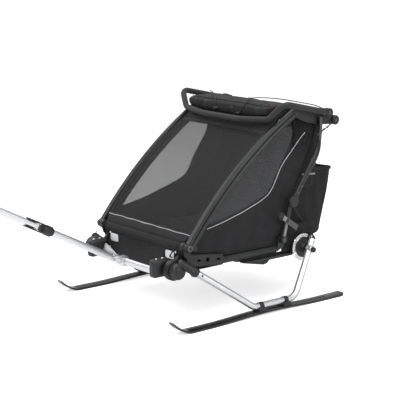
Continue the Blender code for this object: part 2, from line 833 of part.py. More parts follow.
def make_cushion():
    """A bench cushion with a crown, drawn-in sides and a sewn channel between the two seats."""
    bottom = rail_z + rail_radius + tray_thickness + 2 * gap
    depth = seat_rear_y - seat_front_y - 0.016
    bm = bmesh.new()
    bmesh.ops.create_grid(bm, x_segments=18, y_segments=8, size=1.0)
    base = bmesh.ops.extrude_face_region(bm, geom=bm.faces[:])
    low = [v for v in base["geom"] if isinstance(v, bmesh.types.BMVert)]
    lowest = set(low)
    for v in bm.verts:
        u, w = v.co.x, v.co.y
        edge = min(1.0, (1 - abs(u)) * 6) ** 0.5 * min(1.0, (1 - abs(w)) * 3.2) ** 0.5
        channel = 1 - 0.35 * math.exp(-((u / 0.045) ** 2))
        draw = 1 - 0.020 * (1 - w * w) * (1 if v in lowest else 0.6)
        y = (seat_front_y + seat_rear_y) / 2 + w * depth / 2
        if v in lowest:
            z = bottom
            if abs(u) > 0.999 or abs(w) > 0.999:
                z = bottom + 0.004
        else:
            z = bottom + 0.018 + (cushion_height - 0.018) * edge * channel
        v.co = (u * cushion_half * draw, y, z)
    placed(as_object("cushion", bm), "seat_cushion", lining)


def slab(foot, head, thickness, half):
    """A flat pad leaning from foot to head, given as (Y, Z), its front face on that line."""
    foot = Vector(foot)
    head = Vector(head)
    behind = Vector((head.y - foot.y, foot.x - head.x)).normalized() * thickness
    outline = [tuple(foot), tuple(head), tuple(head + behind), tuple(foot + behind)]
    return plate([rounded_flat(outline, thickness * 0.3, 2)], -half, half)


def make_back():
    placed(slab(back_foot, back_head, back_thickness, back_half), "seat_back", lining)


def make_harness(side, s):
    """Shoulder straps, hip strap and buckle of one seat, lying on the backrest."""
    foot = Vector(back_foot)
    head = Vector(back_head)
    up = (head - foot).normalized()
    away = Vector((-up.y, up.x))
    lean = math.atan2(up.x, up.y)
    spread = 0.060
    width = strap_width / 2
    reach = (head - foot).length
    high = reach * 0.72
    low = 0.055
    outer = [(-spread - width, low), (spread + width, low), (spread + width, low + 0.04),
             (spread + width, high), (spread - width, high), (spread - width, low + 0.11),
             (0.012, low + 0.07), (-0.012, low + 0.07), (-spread + width, low + 0.11),
             (-spread + width, high), (-spread - width, high), (-spread - width, low + 0.04)]
    data = bpy.data.curves.new("harness", "CURVE")
    data.dimensions = "2D"
    data.fill_mode = "BOTH"
    data.extrude = strap_thickness / 2
    spline = data.splines.new("POLY")
    spline.points.add(len(outer) - 1)
    for knot, (a, b) in zip(spline.points, outer):
        knot.co = (a, b, 0.0, 1.0)
    spline.use_cyclic_u = True
    made = bpy.data.objects.new("harness", data)
    scene.collection.objects.link(made)
    stand = math.pi / 2 - lean
    centre = Vector((s * harness_x, foot.x, foot.y))
    centre += Vector((0.0, away.x, away.y)) * (strap_thickness / 2 + gap)
    made.matrix_world = Matrix.Translation(centre) @ Matrix.Rotation(stand, 4, "X")
    placed(settle(made), f"harness_{side}", moulded)


def make_front_panel():
    half = 0.311
    rim = [(-half, 0.352), (-half, 0.330), (-0.281, 0.324), (-0.281, 0.272), (-0.212, 0.217)]
    outline = rim + [(-x, z) for x, z in reversed(rim)]
    data = bpy.data.curves.new("panel", "CURVE")
    data.dimensions = "2D"
    data.fill_mode = "BOTH"
    data.extrude = panel_thickness / 2
    spline = data.splines.new("POLY")
    spline.points.add(len(outline) - 1)
    for knot, (x, z) in zip(spline.points, outline):
        knot.co = (x, z, 0.0, 1.0)
    spline.use_cyclic_u = True
    made = bpy.data.objects.new("panel", data)
    scene.collection.objects.link(made)
    stand = Matrix.Rotation(math.pi / 2, 4, "X")
    made.matrix_world = Matrix.Translation((0, panel_y + panel_thickness / 2, 0)) @ stand
    placed(settle(made), "front_panel", fabric)


def make_reflector(side, s):
    outer = panel_y - gap
    low = (s * reflector_x - reflector_width / 2, outer - reflector_depth, reflector_z - reflector_height / 2)
    high = (s * reflector_x + reflector_width / 2, outer, reflector_z + reflector_height / 2)
    bm = bmesh.new()
    size = Matrix.Diagonal((reflector_width, reflector_depth, reflector_height, 1.0))
    middle = (Vector(low) + Vector(high)) / 2
    bmesh.ops.create_cube(bm, size=1.0, matrix=Matrix.Translation(middle) @ size)
    upright_edges = [e for e in bm.edges if abs(e.verts[0].co.y - e.verts[1].co.y) > reflector_depth / 2]
    bmesh.ops.bevel(bm, geom=upright_edges, offset=0.012, segments=4, affect="EDGES", profile=0.5)
    placed(as_object("reflector", bm), f"front_reflector_{side}", reflex)


# Upper frame: uprights, top rails and the rear cross tube


def upright_front(t):
    """A point (Y, Z) on the uprights' front edge, t from 0 at the foot to 1 at the top, and its direction."""
    foot = Vector(upright_bottom)
    head = Vector(upright_top)
    chord = head - foot
    half = math.asin(chord.length / 2 / upright_bend)
    mid = (foot + head) / 2
    across_chord = Vector((chord.y, -chord.x)).normalized()
    centre = mid + across_chord * upright_bend * math.cos(half)
    turn = Matrix.Rotation(-2 * half * t, 2)
    out = turn @ (foot - centre)
    direction = Vector((out.y, -out.x)).normalized()
    return centre + out, direction


def upright_centre(t, inset):
    point, direction = upright_front(t)
    return point + Vector((direction.y, -direction.x)) * inset


def make_upright(side, s):
    line = []
    for i in range(upright_steps + 1):
        p = upright_centre(i / upright_steps, upright_depth / 2)
        line.append((s * upright_x, p.x, p.y))
    lobe = upright_width / 2
    body = extruded(line, upright_section(lobe, upright_depth / 2 - lobe))
    foot_block = across(s * (upright_x - lobe), s * (upright_x + lobe), fold_y, fold_z, 0.021)
    body = join(body, foot_block)
    bore = across(s * 0.3, s * 0.4, fold_y, fold_z, fold_pin_radius + play)
    placed(cut(body, bore), f"front_upright_{side}", frame_black, (s * upright_x, fold_y, fold_z))


def upright_section(lobe, reach):
    """Half-round front and rear edges joined by a waist on each side."""
    waist = lobe * 0.62
    front = [math.radians(180 + 180 * i / 6) for i in range(7)]
    rear = [math.radians(180 * i / 6) for i in range(7)]
    section = [(lobe * math.cos(t), -reach + lobe * math.sin(t)) for t in front]
    section += [(waist, -reach * 0.35), (waist, reach * 0.35)]
    section += [(lobe * math.cos(t), reach + lobe * math.sin(t)) for t in rear]
    section += [(-waist, reach * 0.35), (-waist, -reach * 0.35)]
    return section


def make_top_rail(side, s):
    end = upright_centre(1.0, upright_depth / 2)
    direction = (end - upright_centre(1 - 1 / upright_steps, upright_depth / 2)).normalized()
    inward = Vector((direction.y, -direction.x))
    start = end + direction * gap - inward * upright_depth / 2
    low = start + inward * upright_depth
    lowest_back = cross_z - 0.021
    outline = [tuple(start), tuple(low), (0.000, 0.897), (0.095, 0.876), (cross_y, lowest_back),
               (cross_y, cross_z + 0.021), (0.150, 0.934), (0.000, 0.962)]
    x_in = s * (top_rail_x - top_rail_width / 2)
    x_out = s * (top_rail_x + top_rail_width / 2)
    body = plate([outline], x_in, x_out)
    body = cut(body, across(s * 0.3, s * 0.4, cross_y, cross_z, cross_radius + gap))
    boss_end = s * (handle_x - handle_radius - play)
    boss = across(x_out - s * 0.006, boss_end, handle_pivot[0], handle_pivot[1], handle_boss_radius)
    pin = across(x_out - s * 0.004, s * (up_strut_x + strut_radius + 0.003), *strut_top, strut_pin_radius, 16)
    placed(join(body, boss, pin), f"top_rail_{side}", moulded)


def make_cross_tube():
    tube = bevelled(across(-cross_half_length, cross_half_length, cross_y, cross_z, cross_radius), 0.004)
    for x in cable_holes:
        low = (x, cross_y, cross_z + cross_radius - cable_hole_depth)
        tube = cut(tube, rod(low, (x, cross_y, cross_z + 0.05), cable_radius + gap, steps=16))
    placed(tube, "rear_cross_tube", frame_black)


# Struts and their release levers


def eye_plate(point, radius, x_one, x_two, bore=0.0):
    outlines = [circle(point[0], point[1], radius)]
    if bore:
        outlines.append(circle(point[0], point[1], bore, 16))
    return plate(outlines, x_one, x_two)


def make_lower_strut(side, s):
    x = s * low_strut_x
    half = s * 0.010
    foot = (x, strut_low[0], strut_low[1])
    head = (x, strut_mid[0], strut_mid[1])
    tube = rod(foot, head, strut_tube_radius)
    eye = eye_plate(strut_low, strut_eye_radius, x - half, x + half)
    knob_half = s * (strut_radius + 0.0006)
    knob = eye_plate(strut_mid, strut_head_radius - 0.003, x - knob_half, x + knob_half)
    face = s * (low_strut_x + strut_radius)
    stub = across(face - s * 0.006, s * (up_strut_x - strut_radius + 0.002), *lever_pivot, 0.008, 16)
    body = join(tube, eye, knob, stub)
    bore = across(s * 0.3, s * 0.42, strut_low[0], strut_low[1], strut_pin_radius + play, 16)
    placed(cut(body, bore), f"lower_strut_{side}", anodised, (x, strut_low[0], strut_low[1]))


def make_upper_strut(side, s):
    x = s * up_strut_x
    corners = [(x, *strut_mid), (x, *strut_bend), (x, *strut_top)]
    tube = pipe(rounded(corners, [strut_bend_radius], 7), strut_tube_radius)
    head = eye_plate(strut_mid, strut_head_radius, x - s * strut_radius, x + s * (strut_radius + 0.004))
    top = eye_plate(strut_top, strut_eye_radius - 0.004, x - s * strut_radius, x + s * strut_radius)
    body = join(tube, head, top)
    bore = across(s * 0.3, s * 0.42, strut_top[0], strut_top[1], strut_pin_radius + play, 16)
    placed(cut(body, bore), f"upper_strut_{side}", frame_black, (x, strut_top[0], strut_top[1]))


def make_lever(side, s):
    drop = math.radians(lever_drop)
    along = Vector((math.cos(drop), -math.sin(drop)))
    up = Vector((math.sin(drop), math.cos(drop)))
    pivot = Vector(lever_pivot)
    front = pivot - along * lever_front
    rear = pivot + along * lever_rear
    half = up * lever_height / 2
    outline = [tuple(front - half), tuple(rear - half), tuple(rear + half), tuple(front + half)]
    inner = up_strut_x - strut_radius + 0.002 + gap
    blade = plate([rounded_flat(outline, 0.004)], s * inner, s * (inner + lever_thickness))
    grip = [tuple(front - half * 1.2), tuple(front + along * 0.030 - half * 1.2),
            tuple(front + along * 0.030 + half * 1.2), tuple(front + half * 1.2)]
    grip = plate([rounded_flat(grip, 0.004)], s * inner, s * (inner + 0.013))
    placed(join(blade, grip), f"fold_lever_{side}", lever_grey, (s * inner, *lever_pivot))


# Handlebar


def make_handlebar():
    half = [
        (handle_x, *handle_pivot), (handle_x, *handle_apex), (handle_front_x, *handle_front),
        (handle_bow_x, *handle_bow),
    ]
    corners = half + [(-x, y, z) for x, y, z in reversed(half)]
    bends = [handle_corner, handle_corner, handle_bow_radius]
    line = rounded(corners, bends + bends[::-1])
    bar = pipe(line, handle_radius, 3)
    for s in (-1.0, 1.0):
        inner = s * (handle_x - handle_radius)
        hub = across(inner, s * (handle_x + handle_radius), *handle_pivot, handle_hub_radius)
        bar = join(bar, hub)
    placed(bar, "handlebar", foam, (0.0, *handle_pivot))


# Covers and soft goods


def sheet(line, halves, thickness, crown=0.0, columns=8):
    """A sheet along a line of (Y, Z) points, raised by crown in the middle of its width."""
    bm = bmesh.new()
    rows = []
    for (y, z), half in zip(line, halves):
        row = []
        for j in range(columns + 1):
            u = 2 * j / columns - 1
            row.append(bm.verts.new((u * half, y, z + crown * (1 - u * u))))
        rows.append(row)
    for low, high in zip(rows, rows[1:]):
        for a, b, c, d in zip(low, low[1:], high[1:], high):
            bm.faces.new((a, b, c, d))
    made = as_object("sheet", bm)
    thick = made.modifiers.new("thickness", "SOLIDIFY")
    thick.thickness = thickness
    thick.offset = 0.0
    return settle(made)


def make_front_cover():
    line = []
    for i in range(13):
        line.append(tuple(upright_centre(cover_reach * i / 12, cover_inset)))
    line = [(fold_y - 0.004, fold_z + 0.002)] + line
    halves = [foot_half if z < fold_z + cheek_radius + 0.004 else cover_half for y, z in line]
    placed(sheet(line, halves, panel_thickness), "front_cover", mesh_net, (0.0, fold_y, fold_z))


def roof_line():
    front = upright_centre(0.80, 0.012)
    back = (cross_y - cross_radius - 0.004, cross_z + 0.016)
    ridge = [(front.x, front.y), (-0.150, 0.928), (-0.060, 0.940), (0.040, 0.937), (0.120, 0.925), back]
    return ridge


def make_roof():
    line = roof_line()
    placed(sheet(line, [roof_half] * len(line), 0.004, 0.004), "roof_cover", fabric)


def make_roll():
    """The rolled-up sun and rain cover, a flattened roll strapped across the roof."""
    front, back = -0.212, 0.010
    low, high = 0.9432, 0.986
    middle = ((front + back) / 2, (low + high) / 2)
    outline = []
    steps = 20
    for i in range(steps):
        t = 2 * math.pi * i / steps
        c, q = math.cos(t), math.sin(t)
        y = middle[0] + (back - front) / 2 * math.copysign(abs(c) ** 0.75, c)
        z = middle[1] + (high - low) / 2 * math.copysign(abs(q) ** 0.9, q)
        outline.append((y, z))
    roll = bevelled(plate([outline], -roll_half, roll_half), 0.010, 2)
    line = roof_line()
    under = sheet(line, [roof_half] * len(line), 0.004 + 2 * gap, 0.004)
    placed(cut(roll, under), "rolled_cover", fabric)


def make_cable():
    """The brake cable's loop over the roof, from the cross tube to the right-hand top rail."""
    over = cross_z + cross_radius + 0.012
    points = [
        (cable_holes[0], cross_y, over), (-0.262, 0.176, 0.944), (-0.170, 0.118, 0.957), (-0.070, 0.085, 0.971),
        (0.030, 0.070, 0.979), (0.130, 0.072, 0.981), (0.225, 0.095, 0.974), (0.295, 0.145, 0.959),
        (cable_holes[1], cross_y, over),
    ]
    line = smooth_line(points, 4)
    ends = [Vector((x, cross_y, cross_z + cross_radius - cable_hole_depth + 0.002)) for x in cable_holes]
    placed(pipe([ends[0]] + line + [ends[1]], cable_radius, 2), "brake_cable", moulded)


def smooth_line(points, steps):
    """A curve through all the points, by Catmull and Rom's rule."""
    knots = [Vector(p) for p in points]
    knots = [knots[0] * 2 - knots[1]] + knots + [knots[-1] * 2 - knots[-2]]
    line = []
    for a, b, c, d in zip(knots, knots[1:], knots[2:], knots[3:]):
        for i in range(steps):
            t = i / steps
            line.append(0.5 * (2 * b + (c - a) * t + (2 * a - 5 * b + 4 * c - d) * t * t
                               + (3 * b - 3 * c + d - a) * t ** 3))
    line.append(Vector(points[-1]))
    return line


def make_side_panel(side, s):
    base = rail_z + rail_radius + gap + tray_thickness + gap
    front = []
    for i in range(13):
        t = 0.03 + 0.95 * i / 12
        front.append(tuple(upright_centre(t, upright_depth * 0.9)))
    rim = [
        (block_front_y + 0.060, block_front_top + 0.004), (block_rear_y + 0.008, block_rear_top + 0.006),
        (seat_front_y - 0.006, rail_z + rail_radius + 0.001), (seat_front_y - 0.006, base), (-0.190, base),
    ]
    back = [(-0.165, 0.336), (-0.126, 0.350), (-0.072, 0.480), (0.008, 0.640), (0.082, 0.790), (0.112, 0.868)]
    outline = front[::-1] + rim + back
    x_in = s * (side_x - panel_thickness / 2)
    x_out = s * (side_x + panel_thickness / 2)
    placed(plate([outline], x_in, x_out), f"side_panel_{side}", fabric)


def back_rear(z):
    """How far back the backrest's rear face lies at a height."""
    run = (back_head[0] - back_foot[0]) / (back_head[1] - back_foot[1])
    return back_foot[0] + run * (z - back_foot[1]) + back_thickness * math.sqrt(1 + run * run)


def make_bag():
    """An open-topped luggage bag behind the backrest, wider and deeper towards its rim."""
    levels = []
    profile = ((0.289, 0.150, 0.060), (0.312, 0.186, 0.020), (0.420, 0.214, 0.0),
               (0.530, 0.240, 0.0), (0.650, 0.256, 0.0))
    for z, y_back, stand in profile:
        levels.append((z, back_rear(z) + gap + stand, y_back))
    bm = bmesh.new()
    rings = []
    for z, y_front, y_back in levels:
        inset = 0.020 if z == levels[0][0] else 0.0
        half = bag_half - inset
        flat = rounded_flat([(-half, y_front), (half, y_front), (half, y_back), (-half, y_back)], 0.030, 3)
        rings.append([bm.verts.new((x, y, z)) for x, y in flat])
    bm.faces.new(rings[0])
    for low, high in zip(rings, rings[1:]):
        for i in range(len(low)):
            bm.faces.new((low[i - 1], low[i], high[i], high[i - 1]))
    made = as_object("bag", bm)
    thick = made.modifiers.new("wall", "SOLIDIFY")
    thick.thickness = bag_wall
    thick.offset = -1.0
    placed(settle(made), "cargo_bag", fabric)


both_sides(make_ski)
for place_name, place_y in (("front", saddle_front_y), ("rear", saddle_rear_y)):
    make_saddle(place_name, place_y, "right", 1.0)
    make_saddle(place_name, place_y, "left", -1.0)
both_sides(make_runner)
both_sides(make_button)
both_sides(make_sleeve)
both_sides(make_hub)
both_sides(make_clamp)
make_crossbar()
make_pole_bracket()
make_pole_rear()
make_coupler()
make_pole_front()
make_hook()
make_axle()
both_sides(make_disc)
both_sides(make_carrier)
both_sides(make_caliper)
both_sides(make_front_bracket)
both_sides(make_rail)
make_floor()
make_cushion()
make_back()
both_sides(make_harness)
make_front_panel()
both_sides(make_reflector)
both_sides(make_upright)
both_sides(make_top_rail)
make_cross_tube()
both_sides(make_lower_strut)
both_sides(make_upper_strut)
both_sides(make_lever)
make_handlebar()
make_front_cover()
make_roof()
make_roll()
make_cable()
both_sides(make_side_panel)
make_bag()
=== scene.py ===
import bpy, bmesh, json, math
from mathutils import Matrix, Vector, geometry, noise


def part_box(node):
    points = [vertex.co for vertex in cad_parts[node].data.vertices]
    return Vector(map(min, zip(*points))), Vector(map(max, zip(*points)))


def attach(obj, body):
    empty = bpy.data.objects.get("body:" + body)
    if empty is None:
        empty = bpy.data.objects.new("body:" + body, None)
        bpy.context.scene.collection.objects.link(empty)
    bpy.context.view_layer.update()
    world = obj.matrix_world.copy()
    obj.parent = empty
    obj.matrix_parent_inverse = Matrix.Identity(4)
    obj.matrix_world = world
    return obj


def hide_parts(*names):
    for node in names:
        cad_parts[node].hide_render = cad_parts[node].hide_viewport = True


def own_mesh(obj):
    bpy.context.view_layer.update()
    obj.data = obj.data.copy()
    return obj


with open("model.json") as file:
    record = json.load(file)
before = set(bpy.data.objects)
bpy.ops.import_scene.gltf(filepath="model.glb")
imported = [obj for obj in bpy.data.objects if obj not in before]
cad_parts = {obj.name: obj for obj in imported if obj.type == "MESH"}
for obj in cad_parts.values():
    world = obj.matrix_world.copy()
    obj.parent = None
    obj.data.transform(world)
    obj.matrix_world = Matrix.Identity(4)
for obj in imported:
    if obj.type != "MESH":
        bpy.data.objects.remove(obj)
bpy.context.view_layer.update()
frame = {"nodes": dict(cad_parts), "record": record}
nodes = frame["nodes"]
scene = bpy.context.scene
axleY = 0.9306     # the axle's place; most sizes below are measured from it, as in the part's source
print("frame loaded:", len(nodes), "nodes")

# node helpers, camera, lights and floor


def addNode(tree, kind, settings=None, **feeds):
    # a node; feeds are constants or output sockets, and "_" stands for a space in their names
    node = tree.nodes.new(kind)
    for key, value in (settings or {}).items():
        setattr(node, key, value)
    for key, value in feeds.items():
        feed(tree, node.inputs[key.replace("_", " ")], value)
    return node


def feed(tree, socket, value):
    if isinstance(value, bpy.types.NodeSocket):
        tree.links.new(value, socket)
    else:
        socket.default_value = value


def maths(tree, operation, *values):
    node = addNode(tree, "ShaderNodeMath", {"operation": operation})
    for socket, value in zip(node.inputs, values):
        feed(tree, socket, value)
    return node.outputs[0]


view = {
    "lookAt": (-0.527, axleY + 0.050, 0.350),
    "back": (0.7589, -0.6185, 0.2033),      # from the trailer towards the camera
    "distance": 6.937,
    "lens": 110.6,
    "sensor": 36.0,
    "farthest": 100.0,
}
lamps = [   # name, place, size, power
    ("keyLamp", (1.6, -3.2, 4.6), 3.6, 175.0),
    ("skyLamp", (0.2, 1.0, 5.2), 4.2, 120.0),
    ("sideLamp", (4.6, 1.8, 2.6), 2.6, 70.0),
    ("farLamp", (-4.2, 0.2, 2.8), 3.0, 60.0),
]
lampTarget = (0, axleY - 0.35, 0.45)
ground = {"half": 30.0, "drop": 0.0005, "colour": (0.86, 0.86, 0.86, 1), "cameraLift": 0.60, "worldStrength": 0.50}


def setView():
    back = Vector(view["back"]).normalized()
    right = Vector((-back.y, back.x, 0)).normalized()
    up = back.cross(right)
    data = bpy.data.cameras.new("photoCamera")
    data.lens = view["lens"]
    data.sensor_width = view["sensor"]
    data.clip_end = view["farthest"]
    camera = bpy.data.objects.new("photoCamera", data)
    place = Matrix((right, up, back)).transposed().to_4x4()
    place.translation = Vector(view["lookAt"]) + back * view["distance"]
    camera.matrix_world = place
    scene.collection.objects.link(camera)
    scene.camera = camera
    scene.view_settings.view_transform = "Standard"


def setLamps():
    for name, place, size, power in lamps:
        data = bpy.data.lights.new(name, "AREA")
        data.shape = "DISK"
        data.size = size
        data.energy = power
        lamp = bpy.data.objects.new(name, data)
        lamp.location = place
        lamp.rotation_euler = (Vector(lampTarget) - Vector(place)).to_track_quat("-Z", "Y").to_euler()
        scene.collection.objects.link(lamp)


def setWorld():
    # the camera sees white, the trailer is lit by a dimmer sky
    world = bpy.data.worlds.new("studio")
    scene.world = world
    world.use_nodes = True
    tree = world.node_tree
    tree.nodes.clear()
    path = addNode(tree, "ShaderNodeLightPath").outputs
    seen = addNode(tree, "ShaderNodeBackground", Color=(1, 1, 1, 1), Strength=1.0)
    lit = addNode(tree, "ShaderNodeBackground", Color=(1, 1, 1, 1), Strength=ground["worldStrength"])
    most = maths(tree, "MAXIMUM", path["Is Camera Ray"], path["Is Transmission Ray"])
    mix = addNode(tree, "ShaderNodeMixShader", Fac=most)
    feed(tree, mix.inputs[1], lit.outputs[0])
    feed(tree, mix.inputs[2], seen.outputs[0])
    addNode(tree, "ShaderNodeOutputWorld", Surface=mix.outputs[0])


def setGround():
    bm = bmesh.new()
    bmesh.ops.create_grid(bm, x_segments=4, y_segments=4, size=ground["half"])
    mesh = bpy.data.meshes.new("studioFloor")
    bm.to_mesh(mesh)
    bm.free()
    mesh.transform(Matrix.Translation((0, 0, -ground["drop"])))
    floor = bpy.data.objects.new("studioFloor", mesh)
    scene.collection.objects.link(floor)
    material = bpy.data.materials.new("studioFloor")
    material.use_nodes = True
    tree = material.node_tree
    tree.nodes.clear()
    path = addNode(tree, "ShaderNodeLightPath").outputs
    plain = addNode(tree, "ShaderNodeBsdfDiffuse", Color=ground["colour"])
    amount = maths(tree, "MULTIPLY", path["Is Camera Ray"], ground["cameraLift"])
    lift = addNode(tree, "ShaderNodeEmission", Strength=amount)
    both = addNode(tree, "ShaderNodeAddShader")
    feed(tree, both.inputs[0], plain.outputs[0])
    feed(tree, both.inputs[1], lift.outputs[0])
    addNode(tree, "ShaderNodeOutputMaterial", Surface=both.outputs[0])
    floor.data.materials.append(material)


setView()
setLamps()
setWorld()
setGround()
print("studio ready")

# brake cable over the roof


def smoothLine(points, steps=8, closed=False):
    # a smooth line through every point
    knots = [Vector(p) for p in points]
    if closed:
        knots = [knots[-1]] + knots + knots[:2]
    else:
        knots = [knots[0] * 2 - knots[1]] + knots + [knots[-1] * 2 - knots[-2]]
    line = []
    for a, b, c, d in zip(knots, knots[1:], knots[2:], knots[3:]):
        for i in range(steps):
            t = i / steps
            line.append(0.5 * (2 * b + (c - a) * t + (2 * a - 5 * b + 4 * c - d) * t * t
                               + (3 * b - 3 * c + d - a) * t ** 3))
    if not closed:
        line.append(knots[-2].copy())
    return line


def at(y, z, x=0.0):
    return Vector((x, axleY + y, z))


def curveOf(name, lines, closed=False):
    data = bpy.data.curves.new(name, "CURVE")
    data.dimensions = "3D"
    for line in lines:
        spline = data.splines.new("POLY")
        spline.points.add(len(line) - 1)
        for knot, point in zip(spline.points, line):
            knot.co = (*point, 1)
        spline.use_cyclic_u = closed
    curve = bpy.data.objects.new(name, data)
    scene.collection.objects.link(curve)
    return curve


def meshFrom(piece):
    # the piece's mesh as its modifiers or bevel leave it
    bpy.context.view_layer.update()
    return bpy.data.meshes.new_from_object(piece.evaluated_get(bpy.context.evaluated_depsgraph_get()))


cable = {"diameter": 0.005, "holes": (-0.290, 0.315), "holeY": 0.209, "bottom": 0.901,
         "points": [(-0.290, 0.209, 0.925), (-0.262, 0.176, 0.944), (-0.170, 0.118, 0.957),
                    (-0.070, 0.085, 0.971), (0.030, 0.070, 0.979), (0.130, 0.072, 0.981),
                    (0.225, 0.095, 0.974), (0.295, 0.145, 0.959), (0.315, 0.209, 0.925)]}


def layCable():
    # over the roof, and at each end straight down into the cross tube
    line = smoothLine([at(y, z, x) for x, y, z in cable["points"]])
    first, last = [at(cable["holeY"], cable["bottom"], x) for x in cable["holes"]]
    line = [first] + line + [last]
    curve = curveOf("cableCurve", [line])
    curve.data.bevel_depth = cable["diameter"] / 2
    curve.data.bevel_resolution = 4
    curve.data.use_fill_caps = True
    mesh = meshFrom(curve)
    bpy.data.objects.remove(curve)
    bm = bmesh.new()
    bm.from_mesh(mesh)
    bmesh.ops.remove_doubles(bm, verts=bm.verts, dist=0.00001)
    bm.to_mesh(mesh)
    bm.free()
    mesh.name = "brake_cable_shown"
    mesh.shade_smooth()
    piece = bpy.data.objects.new("brake_cable_shown", mesh)
    scene.collection.objects.link(piece)
    length = sum((b - a).length for a, b in zip(line, line[1:]))
    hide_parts("brake_cable")
    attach(piece, "upper_frame")
    tuple(line[0])
    [tuple(p) for p in line]
    return piece


cablePiece = layCable()
print("cable laid")

# finishes


def newFinish(name):
    material = bpy.data.materials.new(name)
    material.use_nodes = True
    return material, material.node_tree, material.node_tree.nodes["Principled BSDF"]


def coordinates(tree, kind="Object"):
    return addNode(tree, "ShaderNodeTexCoord").outputs[kind]


def ramp(tree, fac, low, high, lowAt=0.0, highAt=1.0):
    # two tones mixed by a value
    node = addNode(tree, "ShaderNodeValToRGB", Fac=fac)
    for element, place, colour in zip(node.color_ramp.elements, (lowAt, highAt), (low, high)):
        element.position = place
        element.color = (*colour, 1)
    return node.outputs["Color"]


def mapped(tree, value, low, high, fromLow=0.0, fromHigh=1.0):
    return addNode(tree, "ShaderNodeMapRange", Value=value, From_Min=fromLow, From_Max=fromHigh, To_Min=low,
                   To_Max=high).outputs["Result"]


def bumped(tree, shader, height, strength, distance, under=None):
    node = addNode(tree, "ShaderNodeBump", Height=height, Strength=strength, Distance=distance)
    if under:
        feed(tree, node.inputs["Normal"], under)
    feed(tree, shader.inputs["Normal"], node.outputs["Normal"])
    return node.outputs["Normal"]


def dressed(tree, shader, **feeds):
    for key, value in feeds.items():
        feed(tree, shader.inputs[key.replace("_", " ")], value)


def grainFinish(name, dark, light, roughness, grain, depth, metallic=0.0, spread=0.06, coat=0.0, sheen=0.0, paintedEdgeLight=0.0):
    # colour drifts between two tones, fine grain in the bump, roughness varies a little; convex edges can be painted
    # paler as a highlight
    material, tree, shader = newFinish(name)
    place = coordinates(tree)
    drift = addNode(tree, "ShaderNodeTexNoise", Vector=place, Scale=9.0, Detail=5.0).outputs["Fac"]
    colour = ramp(tree, drift, dark, light, 0.32, 0.70)
    if paintedEdgeLight:   # convex edges painted paler: a painted highlight along the edges
        edge = addNode(tree, "ShaderNodeNewGeometry").outputs["Pointiness"]
        edgeLightColour = (*[min(1.0, c * 4 + 0.05) for c in light], 1)
        mix = addNode(tree, "ShaderNodeMix", {"data_type": "RGBA"}, Factor=mapped(tree, edge, 0.0, paintedEdgeLight, 0.54, 0.64))
        feed(tree, mix.inputs["A"], colour)
        feed(tree, mix.inputs["B"], edgeLightColour)
        colour = mix.outputs["Result"]
    fine = addNode(tree, "ShaderNodeTexNoise", Vector=place, Scale=grain, Detail=3.0).outputs["Fac"]
    bumped(tree, shader, fine, 0.35, depth)
    rough = mapped(tree, drift, max(0.02, roughness - spread), min(1.0, roughness + spread))
    dressed(tree, shader, Base_Color=colour, Roughness=rough, Metallic=metallic, Coat_Weight=coat,
            Sheen_Weight=sheen, Sheen_Roughness=0.5)
    return material


def drawnMetal(name, colour, roughness, along=(1, 1, 1), streaks=0.05):
    # drawn or turned metal: long fine streaks in roughness and tone
    material, tree, shader = newFinish(name)
    stretch = addNode(tree, "ShaderNodeMapping", Vector=coordinates(tree), Scale=along).outputs["Vector"]
    lines = addNode(tree, "ShaderNodeTexNoise", Vector=stretch, Scale=120.0, Detail=4.0).outputs["Fac"]
    bumped(tree, shader, lines, 0.12, 0.0002)
    dressed(tree, shader, Base_Color=ramp(tree, lines, [c * (1 - streaks) for c in colour], colour),
            Roughness=mapped(tree, lines, roughness - 0.05, roughness + 0.08), Metallic=1.0)
    return material


def threads(tree, place, pitch, axes):
    # a value from -1 to 1 for a plain weave of that pitch on two axes of a coordinate
    parts = addNode(tree, "ShaderNodeSeparateXYZ", Vector=place)
    waves = [maths(tree, "SINE", maths(tree, "MULTIPLY", parts.outputs[axis], 2 * math.pi / pitch)) for axis in axes]
    return maths(tree, "MULTIPLY", *waves)


def wovenFinish(name, dark, light, pitch=0.0012, roughness=0.82, sheen=0.25, depth=0.0004, useMap=True, axes="XY"):
    # coated woven cloth: crossed threads, slow creases and a soft sheen, with painted shade in the crease hollows and
    # painted light on the crease ridges
    material, tree, shader = newFinish(name)
    weave = threads(tree, coordinates(tree, "UV" if useMap else "Object"), pitch, axes)
    creases = addNode(tree, "ShaderNodeTexNoise", Vector=coordinates(tree), Scale=14.0, Detail=6.0,
                      Distortion=0.6).outputs["Fac"]
    slow = bumped(tree, shader, creases, 0.45, 0.004)
    bumped(tree, shader, weave, 0.5, depth, slow)
    rough = mapped(tree, weave, roughness - 0.06, min(1.0, roughness + 0.08), -1.0)
    # the base colour follows the creases: painted shade in their hollows, painted light on their ridges
    dressed(tree, shader, Base_Color=ramp(tree, creases, dark, light, 0.30, 0.72), Roughness=rough,
            Sheen_Weight=sheen, Sheen_Roughness=0.45, Specular_IOR_Level=0.35)
    return material


def netFinish(name, colour, pitch, solid):
    # see-through window net: threads with holes between them, on the piece's own map
    material, tree, shader = newFinish(name)
    weave = threads(tree, coordinates(tree, "UV"), pitch, "XY")
    drift = addNode(tree, "ShaderNodeTexNoise", Vector=coordinates(tree), Scale=7.0, Detail=4.0).outputs["Fac"]
    bumped(tree, shader, weave, 0.15, 0.0005)
    dressed(tree, shader, Base_Color=ramp(tree, drift, [c * 0.8 for c in colour], [c * 1.2 for c in colour]),
            Alpha=mapped(tree, weave, solid + 0.045, solid - 0.045, -0.15, 0.35), Roughness=0.7, Sheen_Weight=0.02)
    return material


